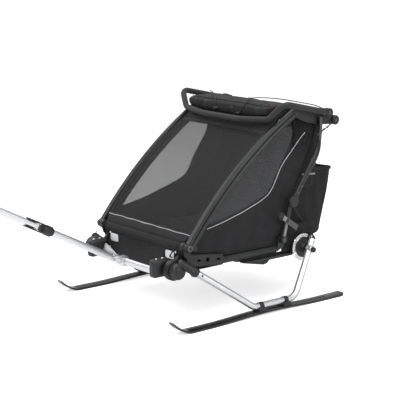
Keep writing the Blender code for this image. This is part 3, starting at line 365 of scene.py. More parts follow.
def prismFinish(name, colour, cell):
    # moulded reflector: rows of small prisms under a clear skin
    material, tree, shader = newFinish(name)
    cells = addNode(tree, "ShaderNodeTexVoronoi", Vector=coordinates(tree), Scale=1.0 / cell,
                    Randomness=0.0).outputs["Distance"]
    bumped(tree, shader, cells, 0.6, 0.0006)
    dressed(tree, shader, Base_Color=ramp(tree, cells, colour, [c * 0.72 for c in colour]), Roughness=0.25,
            Coat_Weight=0.8)
    return material


jet = (0.008, 0.008, 0.009), (0.016, 0.016, 0.018)
ink = (0.006, 0.006, 0.007), (0.013, 0.013, 0.014)
finishes = {
    "aluminium": drawnMetal("anodisedSilver", (0.74, 0.75, 0.765), 0.38, (14, 1, 1)),
    "disc": drawnMetal("discSteel", (0.96, 0.96, 0.97), 0.36, (1, 6, 6), 0.08),
    "dullMetal": drawnMetal("dullMetal", (0.30, 0.30, 0.31), 0.42, (1, 6, 6), 0.10),
    "powder": grainFinish("powderCoatBlack", (0.014, 0.015, 0.016), (0.024, 0.025, 0.027), 0.40, 900, 0.0002, 0.25,
                          paintedEdgeLight=0.10),
    "post": grainFinish("postGrey", (0.0125, 0.013, 0.014), (0.021, 0.022, 0.023), 0.33, 900, 0.0002, 0.2, paintedEdgeLight=0.08),
    "greyStrap": wovenFinish("greyStrap", (0.22, 0.22, 0.225), (0.32, 0.32, 0.325), 0.0014, 0.7, 0.2, 0.0004, False,
                             "XZ"),
    "moulded": grainFinish("mouldedBlack", (0.007, 0.007, 0.008), (0.014, 0.014, 0.015), 0.46, 1400, 0.00015,
                           paintedEdgeLight=0.05),
    "leverGrey": grainFinish("leverGrey", (0.055, 0.056, 0.058), (0.080, 0.080, 0.083), 0.46, 1300, 0.00015,
                             paintedEdgeLight=0.05),
    "foam": grainFinish("foamGrip", (0.010, 0.010, 0.011), (0.020, 0.020, 0.021), 0.74, 1100, 0.0004, sheen=0.06),
    "ski": grainFinish("skiBlack", (0.008, 0.008, 0.009), (0.014, 0.014, 0.015), 0.22, 500, 0.00006, coat=0.4,
                       spread=0.04),
    "fabric": wovenFinish("blackFabric", *jet, sheen=0.04),
    "fabricPlain": wovenFinish("blackFabricBody", *jet, sheen=0.06, useMap=False, axes="XZ"),
    "bagCloth": wovenFinish("bagCloth", *ink, sheen=0.05),
    "lining": wovenFinish("greyLining", (0.009, 0.009, 0.010), (0.018, 0.018, 0.020), 0.0020, 0.9, 0.08, 0.0005,
                          False, "XZ"),
    "webbing": wovenFinish("webbing", *ink, 0.0016, 0.7, 0.08, 0.0006, False, "XZ"),
    "frontNet": netFinish("frontNet", (0.0115, 0.0118, 0.0125), 0.0018, 0.36),
    "sideNet": netFinish("sideNet", (0.078, 0.079, 0.082), 0.0018, 0.40),
    "thread": wovenFinish("thread", (0.020, 0.020, 0.021), (0.045, 0.045, 0.047), 0.0009, 0.6, 0.2, 0.0002, False,
                          "XZ"),
    "cable": grainFinish("cableSheath", (0.012, 0.012, 0.013), (0.022, 0.022, 0.024), 0.38, 1200, 0.0001, coat=0.2),
    "piping": wovenFinish("palePiping", (0.50, 0.50, 0.51), (0.72, 0.72, 0.73), 0.0012, 0.55, 0.2, 0.0003, False,
                          "XZ"),
    "redTab": wovenFinish("darkRedTab", (0.050, 0.008, 0.011), (0.085, 0.012, 0.018), 0.0010, 0.8, 0.2, 0.0003, False,
                          "XZ"),
    "reflector": prismFinish("reflectorWhite", (0.86, 0.87, 0.88), 0.004),
}
cablePiece.data.materials.append(finishes["cable"])
print("finishes ready:", len(finishes))

# shape tools


def addPiece(name, bm, finish, smooth=35.0):
    mesh = bpy.data.meshes.new(name)
    bm.normal_update()
    bm.to_mesh(mesh)
    bm.free()
    piece = bpy.data.objects.new(name, mesh)
    scene.collection.objects.link(piece)
    mesh.materials.append(finishes[finish])
    mesh.shade_smooth()
    mesh.set_sharp_from_angle(angle=math.radians(smooth))
    return piece


def closedPiece(name, bm, finish, smooth=35.0):
    bmesh.ops.recalc_face_normals(bm, faces=bm.faces)
    return addPiece(name, bm, finish, smooth)


def applied(piece):
    # the piece with its modifiers turned into plain mesh
    mesh = meshFrom(piece)
    old = piece.data
    piece.modifiers.clear()
    piece.data = mesh
    bpy.data.meshes.remove(old)
    mesh.name = piece.name
    return piece


def changed(piece, kind, **settings):
    change = piece.modifiers.new("change", kind)
    for key, value in settings.items():
        setattr(change, key, value)
    return applied(piece)


def thicken(piece, thickness, offset=0.0):
    return changed(piece, "SOLIDIFY", thickness=thickness, offset=offset)


def softEdges(piece, width, segments=2, angle=35.0):
    return changed(piece, "BEVEL", width=width, segments=segments, limit_method="ANGLE",
                   angle_limit=math.radians(angle), harden_normals=False)


def merged(name, pieces):
    # several pieces as one, each keeping its finish
    first = pieces[0]
    with bpy.context.temp_override(active_object=first, object=first, selected_objects=pieces,
                                   selected_editable_objects=pieces):
        bpy.ops.object.join()
    first.name = name
    first.data.name = name
    return first


def turnedTo(x, y, z, place):
    # the matrix of a small frame with those axes
    matrix = Matrix((x, y, z)).transposed().to_4x4()
    matrix.translation = place
    return matrix


def roundedLine(points, radii, steps=10):
    # a bent line whose inner corners are arcs
    line = [Vector(points[0])]
    for before, corner, after, radius in zip(points, points[1:], points[2:], radii):
        corner = Vector(corner)
        back = (Vector(before) - corner).normalized()
        ahead = (Vector(after) - corner).normalized()
        half = back.angle(ahead) / 2
        reach = radius / math.tan(half)
        middle = corner + (back + ahead).normalized() * (radius / math.sin(half))
        first = corner + back * reach - middle
        last = corner + ahead * reach - middle
        sweepAngle = first.angle(last)
        for i in range(steps + 1):
            t = i / steps
            share = math.sin((1 - t) * sweepAngle) / math.sin(sweepAngle)
            line.append(middle + first * share + last * (math.sin(t * sweepAngle) / math.sin(sweepAngle)))
    line.append(Vector(points[-1]))
    return line


def evenLine(line, step):
    # the same line with points a step apart
    out = [Vector(line[0])]
    carry = 0.0
    for a, b in zip(line, line[1:]):
        length = (b - a).length
        reached = step - carry
        while reached <= length:
            out.append(a.lerp(b, reached / length))
            reached += step
        carry = length - (reached - step)
    if (out[-1] - line[-1]).length > step * 0.2:
        out.append(Vector(line[-1]))
    return out


def faceWithMap(bm, uv, verts, values):
    face = bm.faces.new(verts)
    for loop, value in zip(face.loops, values):
        loop[uv].uv = value


def carriedFrames(line, upHint, closed):
    # the tangent, side and up at each point, turning as little as they can
    count = len(line)
    tangents = []
    for i in range(count):
        a = line[i - 1] if (i or closed) else line[0]
        b = line[(i + 1) % count] if (i < count - 1 or closed) else line[-1]
        tangents.append((b - a).normalized())
    up = Vector(upHint) if upHint else tangents[0].orthogonal()
    ways = []
    for t in tangents:
        up = (up - t * up.dot(t)).normalized()
        ways.append((t.cross(up), up.copy()))
    if closed and upHint is None:   # spread the twist that is left over the whole line
        last, t = ways[-1][1], tangents[0]
        carried = (last - t * last.dot(t)).normalized()
        twist = math.atan2(carried.dot(ways[0][0]), carried.dot(ways[0][1]))
        for i, t in enumerate(tangents):
            turn = Matrix.Rotation(twist * i / count, 3, t)
            ways[i] = (turn @ ways[i][0], turn @ ways[i][1])
    return ways


def sweep(name, line, section, finish="moulded", upHint=None, closed=False, scaleAt=None):
    # a closed section (side, up) carried along a line, with a map in metres
    line = [Vector(p) for p in line]
    count = len(line)
    bm = bmesh.new()
    uv = bm.loops.layers.uv.new("map")
    rings = []
    for i, (side, top) in enumerate(carriedFrames(line, upHint, closed)):
        grow = scaleAt(i / (count - 1)) if scaleAt else 1.0
        rings.append([bm.verts.new(line[i] + (side * a + top * b) * grow) for a, b in section])
    around = [0.0]
    for a, b in zip(section, section[1:] + section[:1]):
        around.append(around[-1] + (Vector(b) - Vector(a)).length)
    travelled = 0.0
    for i in range(count if closed else count - 1):
        low, high = rings[i], rings[(i + 1) % count]
        reached = travelled + (line[(i + 1) % count] - line[i]).length
        for j in range(len(section)):
            k = (j + 1) % len(section)
            faceWithMap(bm, uv, (low[j], low[k], high[k], high[j]), (
                (around[j], travelled), (around[j + 1], travelled), (around[j + 1], reached), (around[j], reached)))
        travelled = reached
    if not closed:
        bm.faces.new(rings[0][::-1])
        bm.faces.new(rings[-1])
    return closedPiece(name, bm, finish)


def circle(radius, sides, tall=1.0):
    angles = [2 * math.pi * i / sides for i in range(sides)]
    return [(radius * math.cos(a), radius * tall * math.sin(a)) for a in angles]


def ovalSection(width, height, sides=10):
    # a flat oval: half-round ends joined by straights
    r = min(width, height) / 2
    arc = [(r * math.cos(math.pi * i / sides), r * math.sin(math.pi * i / sides)) for i in range(sides + 1)]
    if height > width:
        half = [(c, height / 2 - r + q) for c, q in arc]
    else:
        half = [(width / 2 - r + q, c) for c, q in arc]
    return half + [(-a, -b) for a, b in half]


def bandSection(half, low, high, topHalf=None):
    # a flat band from low to high, its upper side a little narrower where topHalf says so
    top = half if topHalf is None else topHalf
    return [(-half, low), (half, low), (top, high), (-top, high)]


def squaredLoop(width, height, power, count, point):
    # points around a rounded rectangle; point(a, b) places them
    loop = []
    for i in range(count):
        c, q = math.cos(2 * math.pi * i / count), math.sin(2 * math.pi * i / count)
        loop.append(point(width / 2 * math.copysign(abs(c) ** power[0], c),
                          height / 2 * math.copysign(abs(q) ** power[1], q)))
    return loop


def tube(name, line, radius, finish, sides=28, rim=0.0015):
    # a round tube whose ends are slightly turned in
    piece = sweep(name, line, circle(radius, sides), finish)
    return softEdges(piece, rim, 2, 60) if rim else piece


def turned(name, profile, centre, axis, finish="moulded", sides=48, smooth=35.0):
    # a turned shape: profile is (distance along the axis, radius), from one end to the other
    axis = Vector(axis).normalized()
    side = axis.orthogonal().normalized()
    top = axis.cross(side)
    bm = bmesh.new()
    rings = []
    for along, radius in profile:
        middle = Vector(centre) + axis * along
        spots = circle(1.0, sides) if radius > 0.00001 else [(0, 0)]
        rings.append([bm.verts.new(middle + (side * a + top * b) * radius) for a, b in spots])
    for low, high in zip(rings, rings[1:]):
        for j in range(sides):
            k = (j + 1) % sides
            if len(low) == 1 and len(high) > 1:
                bm.faces.new((low[0], high[k], high[j]))
            elif len(high) == 1 and len(low) > 1:
                bm.faces.new((low[j], low[k], high[0]))
            elif len(low) > 1:
                bm.faces.new((low[j], low[k], high[k], high[j]))
    if len(rings[0]) > 1:
        bm.faces.new(rings[0][::-1])
    if len(rings[-1]) > 1:
        bm.faces.new(rings[-1])
    return closedPiece(name, bm, finish, smooth)


def cuboid(name, matrix, size, finish="moulded", edge=0.002, segments=2):
    # a box of that size about the matrix's origin, with rounded edges
    bm = bmesh.new()
    bmesh.ops.create_cube(bm, size=1.0, matrix=matrix @ Matrix.Diagonal((*size, 1)))
    return softEdges(addPiece(name, bm, finish), edge, segments)


def block(name, low, high, finish="moulded", edge=0.002, segments=2):
    low, high = Vector(low), Vector(high)
    return cuboid(name, Matrix.Translation((low + high) / 2), [abs(v) for v in high - low], finish, edge, segments)


def plateAlongX(name, outline, xLow, xHigh, finish, edge, segments=2):
    # a flat outline in (Y from the axle, Z), thick along X
    curve = curveOf(name, [[(y + axleY, z, 0) for y, z in outline]], True)
    curve.data.dimensions = "2D"
    curve.data.fill_mode = "BOTH"
    curve.data.extrude = abs(xHigh - xLow) / 2
    mesh = meshFrom(curve)
    bpy.data.objects.remove(curve)
    turn = Matrix(((0, 0, 1, (xLow + xHigh) / 2), (1, 0, 0, 0), (0, 1, 0, 0), (0, 0, 0, 1)))
    bm = bmesh.new()
    bm.from_mesh(mesh)
    bpy.data.meshes.remove(mesh)
    bmesh.ops.transform(bm, matrix=turn, verts=bm.verts)
    bmesh.ops.remove_doubles(bm, verts=bm.verts, dist=0.00002)
    bmesh.ops.dissolve_limit(bm, angle_limit=0.01, verts=bm.verts, edges=bm.edges)
    return softEdges(closedPiece(name, bm, finish), edge, segments)


def refined(node, finish, edge=0.0012, segments=2, angle=38.0):
    # a rounded-edge copy of a CAD node, which stands for it
    bm = bmesh.new()
    bm.from_mesh(nodes[node].data)
    bmesh.ops.remove_doubles(bm, verts=bm.verts, dist=0.00002)
    bmesh.ops.dissolve_limit(bm, angle_limit=math.radians(1.0), verts=bm.verts, edges=bm.edges)
    piece = addPiece(node + "_shown", bm, finish)
    if edge:
        softEdges(piece, edge, segments, angle)
        piece.data.shade_smooth()
        piece.data.set_sharp_from_angle(angle=math.radians(40))
    return piece


def bodyHolding(node):
    return next(body for body, members in frame["record"]["behaviour"]["bodies"].items() if node in members)


def mount(piece, node):
    # the piece stands for that node and rides with it
    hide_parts(node)
    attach(piece, bodyHolding(node))


def mountTrim(pieces, body):
    for piece in pieces:
        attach(piece, body)


sides = (("right", 1.0), ("left", -1.0))

# Geometry Nodes: what repeats


def newTree(name, **inputs):
    # inputs give each value's name and default; whole numbers make whole-number sockets
    tree = bpy.data.node_groups.new(name, "GeometryNodeTree")
    tree.interface.new_socket("Geometry", in_out="INPUT", socket_type="NodeSocketGeometry")
    for label, value in inputs.items():
        kind = "NodeSocketInt" if isinstance(value, int) else "NodeSocketFloat"
        tree.interface.new_socket(label, in_out="INPUT", socket_type=kind).default_value = value
    tree.interface.new_socket("Geometry", in_out="OUTPUT", socket_type="NodeSocketGeometry")
    return tree, tree.nodes.new("NodeGroupInput").outputs


def closeTree(tree, geometry, finish):
    real = addNode(tree, "GeometryNodeRealizeInstances", Geometry=geometry)
    paint = addNode(tree, "GeometryNodeSetMaterial", Geometry=real.outputs[0], Material=finishes[finish])
    addNode(tree, "NodeGroupOutput", Geometry=paint.outputs[0])
    return tree


def grown(name, host, tree, **values):
    # runs a tree on the host and keeps the result as a plain mesh
    change = host.modifiers.new("grow", "NODES")
    change.node_group = tree
    wanted = {item.name: item.identifier for item in tree.interface.items_tree if item.in_out == "INPUT"}
    for label, value in values.items():
        change[wanted[label]] = value
    mesh = meshFrom(host)
    bpy.data.objects.remove(host)
    piece = bpy.data.objects.new(name, mesh)
    mesh.name = name
    scene.collection.objects.link(piece)
    mesh.shade_smooth()
    mesh.set_sharp_from_angle(angle=math.radians(40))
    return piece


def stitchTree(finish):
    # short thread capsules along a line
    tree, start = newTree("stitches_" + finish, pitch=0.006, stitch=0.0042, thread=0.0006)
    spread = addNode(tree, "GeometryNodeResampleCurve", {"mode": "LENGTH"}, Curve=start["Geometry"],
                     Length=start["pitch"])
    points = addNode(tree, "GeometryNodeCurveToPoints", {"mode": "EVALUATED"}, Curve=spread.outputs["Curve"])
    bead = addNode(tree, "GeometryNodeMeshUVSphere", Segments=6, Rings=4, Radius=1.0)
    size = addNode(tree, "ShaderNodeCombineXYZ", X=start["thread"], Y=start["thread"],
                   Z=maths(tree, "MULTIPLY", start["stitch"], 0.5))
    lay = addNode(tree, "GeometryNodeInstanceOnPoints", Points=points.outputs["Points"],
                  Instance=bead.outputs["Mesh"],
                  Rotation=points.outputs["Rotation"], Scale=size.outputs["Vector"])
    return closeTree(tree, lay.outputs["Instances"], finish)


def screwTree(finish):
    # a button-head screw with a six-sided socket on every point, turned the way that the point faces
    tree, start = newTree("screws_" + finish, radius=0.005, height=0.0025)
    head = addNode(tree, "GeometryNodeMeshCone", Vertices=24, Side_Segments=2, Radius_Bottom=start["radius"],
                   Radius_Top=maths(tree, "MULTIPLY", start["radius"], 0.72), Depth=start["height"])
    socket = addNode(tree, "GeometryNodeMeshCylinder", Vertices=6,
                     Radius=maths(tree, "MULTIPLY", start["radius"], 0.40), Depth=start["height"])
    lift = addNode(tree, "ShaderNodeCombineXYZ", Z=start["height"])
    place = addNode(tree, "GeometryNodeTransform", Geometry=socket.outputs["Mesh"],
                    Translation=lift.outputs["Vector"])
    hollow = addNode(tree, "GeometryNodeMeshBoolean", {"operation": "DIFFERENCE"}, Mesh_1=head.outputs["Mesh"],
                     Mesh_2=place.outputs["Geometry"])
    points = addNode(tree, "GeometryNodeMeshToPoints", Mesh=start["Geometry"])
    read = addNode(tree, "GeometryNodeInputNamedAttribute", {"data_type": "FLOAT_VECTOR"}, Name="facing")
    turn = addNode(tree, "FunctionNodeAlignRotationToVector", {"axis": "Z"}, Vector=read.outputs["Attribute"])
    lay = addNode(tree, "GeometryNodeInstanceOnPoints", Points=points.outputs["Points"],
                  Instance=hollow.outputs["Mesh"],
                  Rotation=turn.outputs["Rotation"])
    return closeTree(tree, lay.outputs["Instances"], finish)


def screws(points, facing, radius, height, finish="disc"):
    # screw heads on loose points that all face one way
    mesh = bpy.data.meshes.new("hostPoints")
    mesh.from_pydata(points, [], [])
    for entry in mesh.attributes.new("facing", "FLOAT_VECTOR", "POINT").data:
        entry.vector = facing
    host = bpy.data.objects.new("hostPoints", mesh)
    scene.collection.objects.link(host)
    return grown("screws", host, screwTree(finish), radius=radius, height=height)


def discTree(finish):
    # a brake disc: its flat outlines filled, with rows of round perforations
    tree, start = newTree("perforatedDisc", rows=3, holes=30, hole=0.0021, first=0.0575, step=0.0046, twist=0.07)
    total = maths(tree, "MULTIPLY", start["rows"], start["holes"])
    dots = addNode(tree, "GeometryNodeMeshLine", {"mode": "OFFSET"}, Count=total)
    row = maths(tree, "DIVIDE", addNode(tree, "GeometryNodeInputIndex").outputs[0], start["holes"])
    whole = maths(tree, "FLOOR", row)
    spin = maths(tree, "MULTIPLY", maths(tree, "FRACT", row), 2 * math.pi)
    turn = maths(tree, "ADD", spin, maths(tree, "MULTIPLY", whole, start["twist"]))
    out = maths(tree, "MULTIPLY_ADD", whole, start["step"], start["first"])
    spot = addNode(tree, "ShaderNodeCombineXYZ", X=maths(tree, "MULTIPLY", maths(tree, "COSINE", turn), out),
                   Y=maths(tree, "MULTIPLY", maths(tree, "SINE", turn), out))
    put = addNode(tree, "GeometryNodeSetPosition", Geometry=dots.outputs["Mesh"], Position=spot.outputs["Vector"])
    hole = addNode(tree, "GeometryNodeCurvePrimitiveCircle", Resolution=12, Radius=start["hole"])
    lay = addNode(tree, "GeometryNodeInstanceOnPoints", Points=put.outputs["Geometry"],
                  Instance=hole.outputs["Curve"])
    real = addNode(tree, "GeometryNodeRealizeInstances", Geometry=lay.outputs["Instances"])
    both = addNode(tree, "GeometryNodeJoinGeometry", Geometry=real.outputs["Geometry"])
    feed(tree, both.inputs["Geometry"], start["Geometry"])
    fill = addNode(tree, "GeometryNodeFillCurve", {"mode": "TRIANGLES"}, Curve=both.outputs["Geometry"])
    return closeTree(tree, fill.outputs["Mesh"], finish)


print("shape tools ready")

# skis

ski = {"x": 0.470, "tipY": -0.930, "length": 1.098, "width": 0.068, "thickness": 0.011, "camber": 0.010,
       "tipRise": 0.054, "tipRun": 0.105, "flatRun": 0.105, "tailRun": 0.035, "tailRise": 0.004, "stations": 84,
       "bandFrom": 0.10, "bandLength": 0.885, "bandStations": 60}


def skiSole(d):
    archStart = ski["tipRun"] + ski["flatRun"]
    archEnd = ski["length"] - ski["tailRun"] - ski["flatRun"]
    tail = ski["length"] - ski["tailRun"]
    if d < ski["tipRun"]:
        return ski["tipRise"] * ((ski["tipRun"] - d) / ski["tipRun"]) ** 2
    if archStart < d < archEnd:
        return ski["camber"] * (1 - math.cos(2 * math.pi * (d - archStart) / (archEnd - archStart))) / 2
    if d > tail:
        return ski["tailRise"] * ((d - tail) / ski["tailRun"]) ** 2
    return 0.0


def skiHalf(d):
    waist = 0.05 * ski["width"] * math.sin(math.pi * d / ski["length"])
    nose = min(1.0, (d + 0.012) / 0.062)
    heel = min(1.0, (ski["length"] - d + 0.012) / 0.042)
    return (ski["width"] / 2 - waist) * math.sqrt(1 - (1 - nose) ** 2) * math.sqrt(1 - (1 - heel) ** 2)


def skiTop(y):
    return skiSole(y - ski["tipY"]) + ski["thickness"]


def skiBody(s):
    bm = bmesh.new()
    rings = []
    full = ski["thickness"]
    for i in range(ski["stations"] + 1):
        t = i / ski["stations"]
        d = ski["length"] * (0.5 - 0.5 * math.cos(math.pi * t)) * 0.35 + ski["length"] * t * 0.65
        h = skiHalf(d)
        z = skiSole(d)
        lip = min(0.004, h * 0.4)
        right = [(h - 0.0006, 0.0), (h, 0.0008), (h, 0.0072), (h - lip * 0.35, 0.0090), (h - lip, full - 0.0008),
                 (h - lip * 1.5, full)]
        section = [(-right[0][0], 0.0)] + right + [(-a, b) for a, b in right[:0:-1]]
        rings.append([bm.verts.new(at(ski["tipY"] + d, z + b, s * ski["x"] + a)) for a, b in section])
    for low, high in zip(rings, rings[1:]):
        for j in range(len(low)):
            k = (j + 1) % len(low)
            bm.faces.new((low[j], low[k], high[k], high[j]))
    bm.faces.new(rings[0])
    bm.faces.new(rings[-1][::-1])
    return closedPiece("skiBody", bm, "ski", 50)


for side, s in sides:
    body = skiBody(s)
    along = [ski["bandFrom"] + ski["bandLength"] * i / ski["bandStations"] for i in range(ski["bandStations"] + 1)]
    line = [at(ski["tipY"] + d, skiSole(d) + ski["thickness"] + 0.0002, s * ski["x"]) for d in along]
    band = sweep("skiBand", line, bandSection(0.0065, 0, 0.0007, 0.0060), upHint=(0, 0, 1))
    mount(merged("ski_shown_" + side, [body, band]), "ski_" + side)
print("skis done")

# ski frames, their sockets and buttons

runner = {"radius": 0.0165, "lift": 0.0052, "frontY": -0.425, "rearY": -0.155, "topX": 0.410, "topZ": 0.300,
          "axleZ": 0.256,
          "frontBend": 0.060, "rearBend": 0.085, "armStart": (0.352, -0.790, 0.300), "sleeveLength": 0.135,
          "sleeveDepth": 0.055, "bossHeight": 0.024, "saddles": (("front", -0.385), ("rear", -0.224)),
          "strapGap": 0.0016, "boltGrid": (0.0215, 0.012), "boltLift": 0.0072}
runner["z"] = skiTop(-0.385) + runner["lift"] + runner["radius"]


def runnerLine(s):
    rear = Vector((ski["x"], runner["rearY"], runner["z"]))
    axle = Vector((runner["topX"], 0.0, runner["axleZ"]))
    top = rear + (axle - rear) * (runner["topZ"] - runner["z"]) / (runner["axleZ"] - runner["z"])
    start = Vector(runner["armStart"])
    front = Vector((ski["x"], runner["frontY"], runner["z"]))
    mouth = start + (front - start).normalized() * (runner["sleeveLength"] - runner["sleeveDepth"])
    line = roundedLine([mouth, front, rear, top], [runner["frontBend"], runner["rearBend"]], 16)
    return [at(p.y, p.z, s * p.x) for p in line]


def rivet(name, centre, axis, radius, height, finish):
    dome = [(-0.001, radius * 0.98), (height * 0.35, radius), (height * 0.75, radius * 0.85), (height, radius * 0.45),
            (height, 0)]
    return turned(name, dome, centre, axis, finish, 20)


def plugOn(spot, along, s, radius, height, sunk):
    # a small rivet in a cross hole, on the tube's outer side
    way = Vector((s, 0, 0)) - along * along.x * s
    return rivet("plug", spot + way.normalized() * (runner["radius"] - sunk), way, radius, height, "moulded")


socketProfile = [(0.0, 0.0), (0.0, 0.0175), (0.012, 0.0195), (0.032, 0.0195), (0.0345, 0.0185), (0.036, 0.0165),
                 (0.036, 0.0142), (0.0345, 0.0140), (0.026, 0.0140), (0.026, 0.0)]
capProfile = [(0.0, 0.0), (0.0, 0.0132), (0.010, 0.0132), (0.0105, 0.0126), (0.0115, 0.0126), (0.012, 0.0132),
              (0.0145, 0.0132), (0.0160, 0.0120), (0.0165, 0.0105), (0.0158, 0.0070), (0.0156, 0.0)]
for side, s in sides:
    line = runnerLine(s)
    down = (line[-1] - line[-2]).normalized()
    ahead = (line[1] - line[0]).normalized()
    pieces = [tube("runnerTube", line, runner["radius"], "aluminium", 36, 0.003),
              turned("socket", socketProfile, at(0, runner["axleZ"], s * (runner["topX"] - 0.012)), (s, 0, 0),
                     "aluminium")]
    for far in (0.020, 0.075):
        pieces.append(plugOn(line[-1] - down * far, down, s, 0.0034, 0.0011, 0.0004))
    pieces.append(plugOn(line[0] + ahead * 0.050, ahead, s, 0.0056, 0.0009, 0.0006))
    mount(merged("ski_frame_shown_" + side, pieces), "ski_frame_" + side)

    face = s * (runner["topX"] + runner["bossHeight"] - 0.0035)
    cap = turned("release_button_shown_" + side, capProfile, at(0, runner["axleZ"], face), (s, 0, 0))
    mount(cap, "release_button_" + side)

    for place, y in runner["saddles"]:
        node = "ski_saddle_%s_%s" % (place, side)
        body = refined(node, "moulded", 0.0016)
        around = runner["radius"] + runner["strapGap"]   # the band over the tube, then its bolts in the ski
        angles = [math.pi * (-0.06 + 1.12 * i / 24) for i in range(25)]
        band = [at(y, runner["z"] + around * math.sin(a), s * ski["x"] + around * math.cos(a)) for a in angles]
        strap = sweep("strap", band, bandSection(0.0125, -0.001, 0.0012, 0.0120), upHint=(1, 0, 0))
        wide, deep = runner["boltGrid"]
        heads = [at(y + dy, skiTop(y + dy) + runner["boltLift"],
                    s * ski["x"] + dx) for dx in (-wide, wide) for dy in (-deep, deep)]
        mount(merged(node + "_shown", [body, strap, screws(heads, (0, 0, 1), 0.0036, 0.0026)]), node)
print("ski frames done")

# front hubs, sleeves, clamps and crossbar

hub = {"y": -0.800, "z": 0.260, "x": 0.300, "width": 0.031, "gap": 0.0003,
       "profile": [(-0.0175, 0.0), (-0.0175, 0.019), (-0.0165, 0.020), (-0.001, 0.020), (0.0, 0.0225), (0.0, 0.046),
                   (0.0012, 0.0488), (0.0040, 0.050), (0.0105, 0.050), (0.0115, 0.0485), (0.0135, 0.0485),
                   (0.0145, 0.050), (0.0230, 0.050), (0.0240, 0.0480), (0.0258, 0.0480), (0.0268, 0.0488),
                   (0.0302, 0.0472), (0.031, 0.0440), (0.031, 0.0)],
       "washer": [(-0.0046, 0.0478), (-0.0040, 0.0496), (-0.0022, 0.0498), (-0.0014, 0.0484), (-0.0014, 0.0440)],
       "arcRadius": 0.0492, "arcFrom": -12, "arcSweep": 66, "arcThick": 0.0014,
       "eye": [(0.0, 0.0), (0.0, 0.0365), (0.0022, 0.039), (0.0130, 0.039), (0.0142, 0.0375), (0.0162, 0.0375),
               (0.0174, 0.039), (0.0315, 0.039), (0.0350, 0.0365), (0.0360, 0.0335), (0.0352, 0.0300),
               (0.0352, 0.0215), (0.0375, 0.0205), (0.0390, 0.0180), (0.0390, 0.0100), (0.0372, 0.0092),
               (0.0372, 0.0)]}
bar = {"y": -0.862, "z": 0.252, "depth": 0.024, "height": 0.036, "half": 0.2702,
       "plateY": -0.8440, "plateThickness": 0.003,     # a pressed plate stands behind the bar's left half
       "plate": [(-0.176, 0.304), (-0.164, 0.304), (-0.072, 0.262), (-0.072, 0.244), (-0.196, 0.244),
                 (-0.196, 0.266)]}
sleeve = {"length": runner["sleeveLength"] - 0.027, "bore": runner["sleeveDepth"] - 0.027,
          "ear": (0.016, 0.010, 0.009)}


def frontHub(side, s):
    centre = at(hub["y"], hub["z"], s * hub["x"])
    disc = turned("hubDisc", hub["profile"], centre, (s, 0, 0), sides=72)
    # the pale washer between hub and sleeve shows as an arc
    washer = turned("washer", [(hub["width"] + a, r) for a, r in hub["washer"]], centre, (s, 0, 0), sides=72)
    angles = [math.radians(hub["arcFrom"] + hub["arcSweep"] * i / 20) for i in range(21)]
    arcX = s * (hub["x"] + hub["width"] - 0.0030)
    arc = [at(hub["y"] + hub["arcRadius"] * math.cos(a), hub["z"] + hub["arcRadius"] * math.sin(a),
              arcX) for a in angles]
    spring = sweep("washerArc", arc, circle(hub["arcThick"], 12), "aluminium")
    mount(merged("front_hub_shown_" + side, [disc, washer, spring]), "front_hub_" + side)


def armSleeve(side, s):
    line = runnerLine(s)
    along = (line[1] - line[0]).normalized()
    x, y, z = runner["armStart"]
    start = at(y, z, s * x)
    eye = turned("sleeveEye", hub["eye"], at(hub["y"], hub["z"], s * (hub["x"] + hub["width"] + hub["gap"])),
                 (s, 0, 0), sides=60)
    full, bore = sleeve["length"], sleeve["bore"]
    collar = turned("sleeveTube", [(-0.002, 0.0), (-0.002, 0.0185), (0.002, 0.0205), (full - 0.030, 0.0205),
                                   (full - 0.028, 0.0222),
                                   (full - 0.003, 0.0222), (full - 0.0008, 0.0212), (full, 0.0200), (full, 0.0172),
                                   (full - bore, 0.0172), (full - bore, 0.0)], start, along, sides=40)
    pinch = (Vector((0, 0, -1)) - along * -along.z).normalized()
    sideways = along.cross(pinch)
    middle = start + along * (full - 0.0155) + pinch * 0.0205
    ear = cuboid("pinchEar", turnedTo(along, sideways, pinch, middle), sleeve["ear"], edge=0.0025, segments=3)
    head = screws([middle + sideways * s * 0.0048], sideways * s, 0.0030, 0.0020, "moulded")
    mount(merged("arm_sleeve_shown_" + side, [eye, collar, ear, head]), "arm_sleeve_" + side)


def crossbarClamp(side):
    node = "crossbar_clamp_" + side
    low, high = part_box(node)
    body = refined(node, "moulded", 0.0)
    half = (low.x + high.x) / 2
    rib = block("clampRib", (half - 0.015, low.y + 0.012, high.z - 0.002),
                (half + 0.015, high.y - 0.012, high.z + 0.0016), edge=0.0015)
    lip = block("clampLip", (low.x + 0.010, low.y - 0.0016, hub["z"] - 0.020),
                (high.x - 0.010, low.y + 0.002, hub["z"] + 0.030), edge=0.0015)
    heads = [(half, low.y + share * (high.y - low.y), high.z + 0.0022) for share in (0.30, 0.70)]
    mount(merged(node + "_shown", [body, rib, lip, screws(heads, (0, 0, 1), 0.0050, 0.0032)]), node)


for side, s in sides:
    frontHub(side, s)
    armSleeve(side, s)
    crossbarClamp(side)

beam = sweep("crossbar_shown", [at(bar["y"], bar["z"], x) for x in (-bar["half"], -0.1, 0.1, bar["half"])],
             ovalSection(bar["depth"], bar["height"], 16), "aluminium", upHint=(0, 0, 1))
bm = bmesh.new()
bm.faces.new([bm.verts.new(at(bar["plateY"], z, x)) for x, z in bar["plate"]])
gussetAndShade = softEdges(thicken(addPiece("barGusset", bm, "aluminium"), bar["plateThickness"]), 0.0008)
mount(merged("crossbar_shown", [beam, gussetAndShade]), "crossbar")
print("hubs and crossbar done")

# tow pole, drawn along its own line and then tipped up

pole = {"pitch": 27.3, "pivot": (-0.907, 0.268), "radius": 0.0165, "rearLength": 0.452, "foldAt": 0.500,
        "endAt": 1.300,
        "couplerStart": 0.405, "prongHeight": 0.006, "tongue": (0.0290, 0.032, 0.0285), "ribPitch": 0.0075}


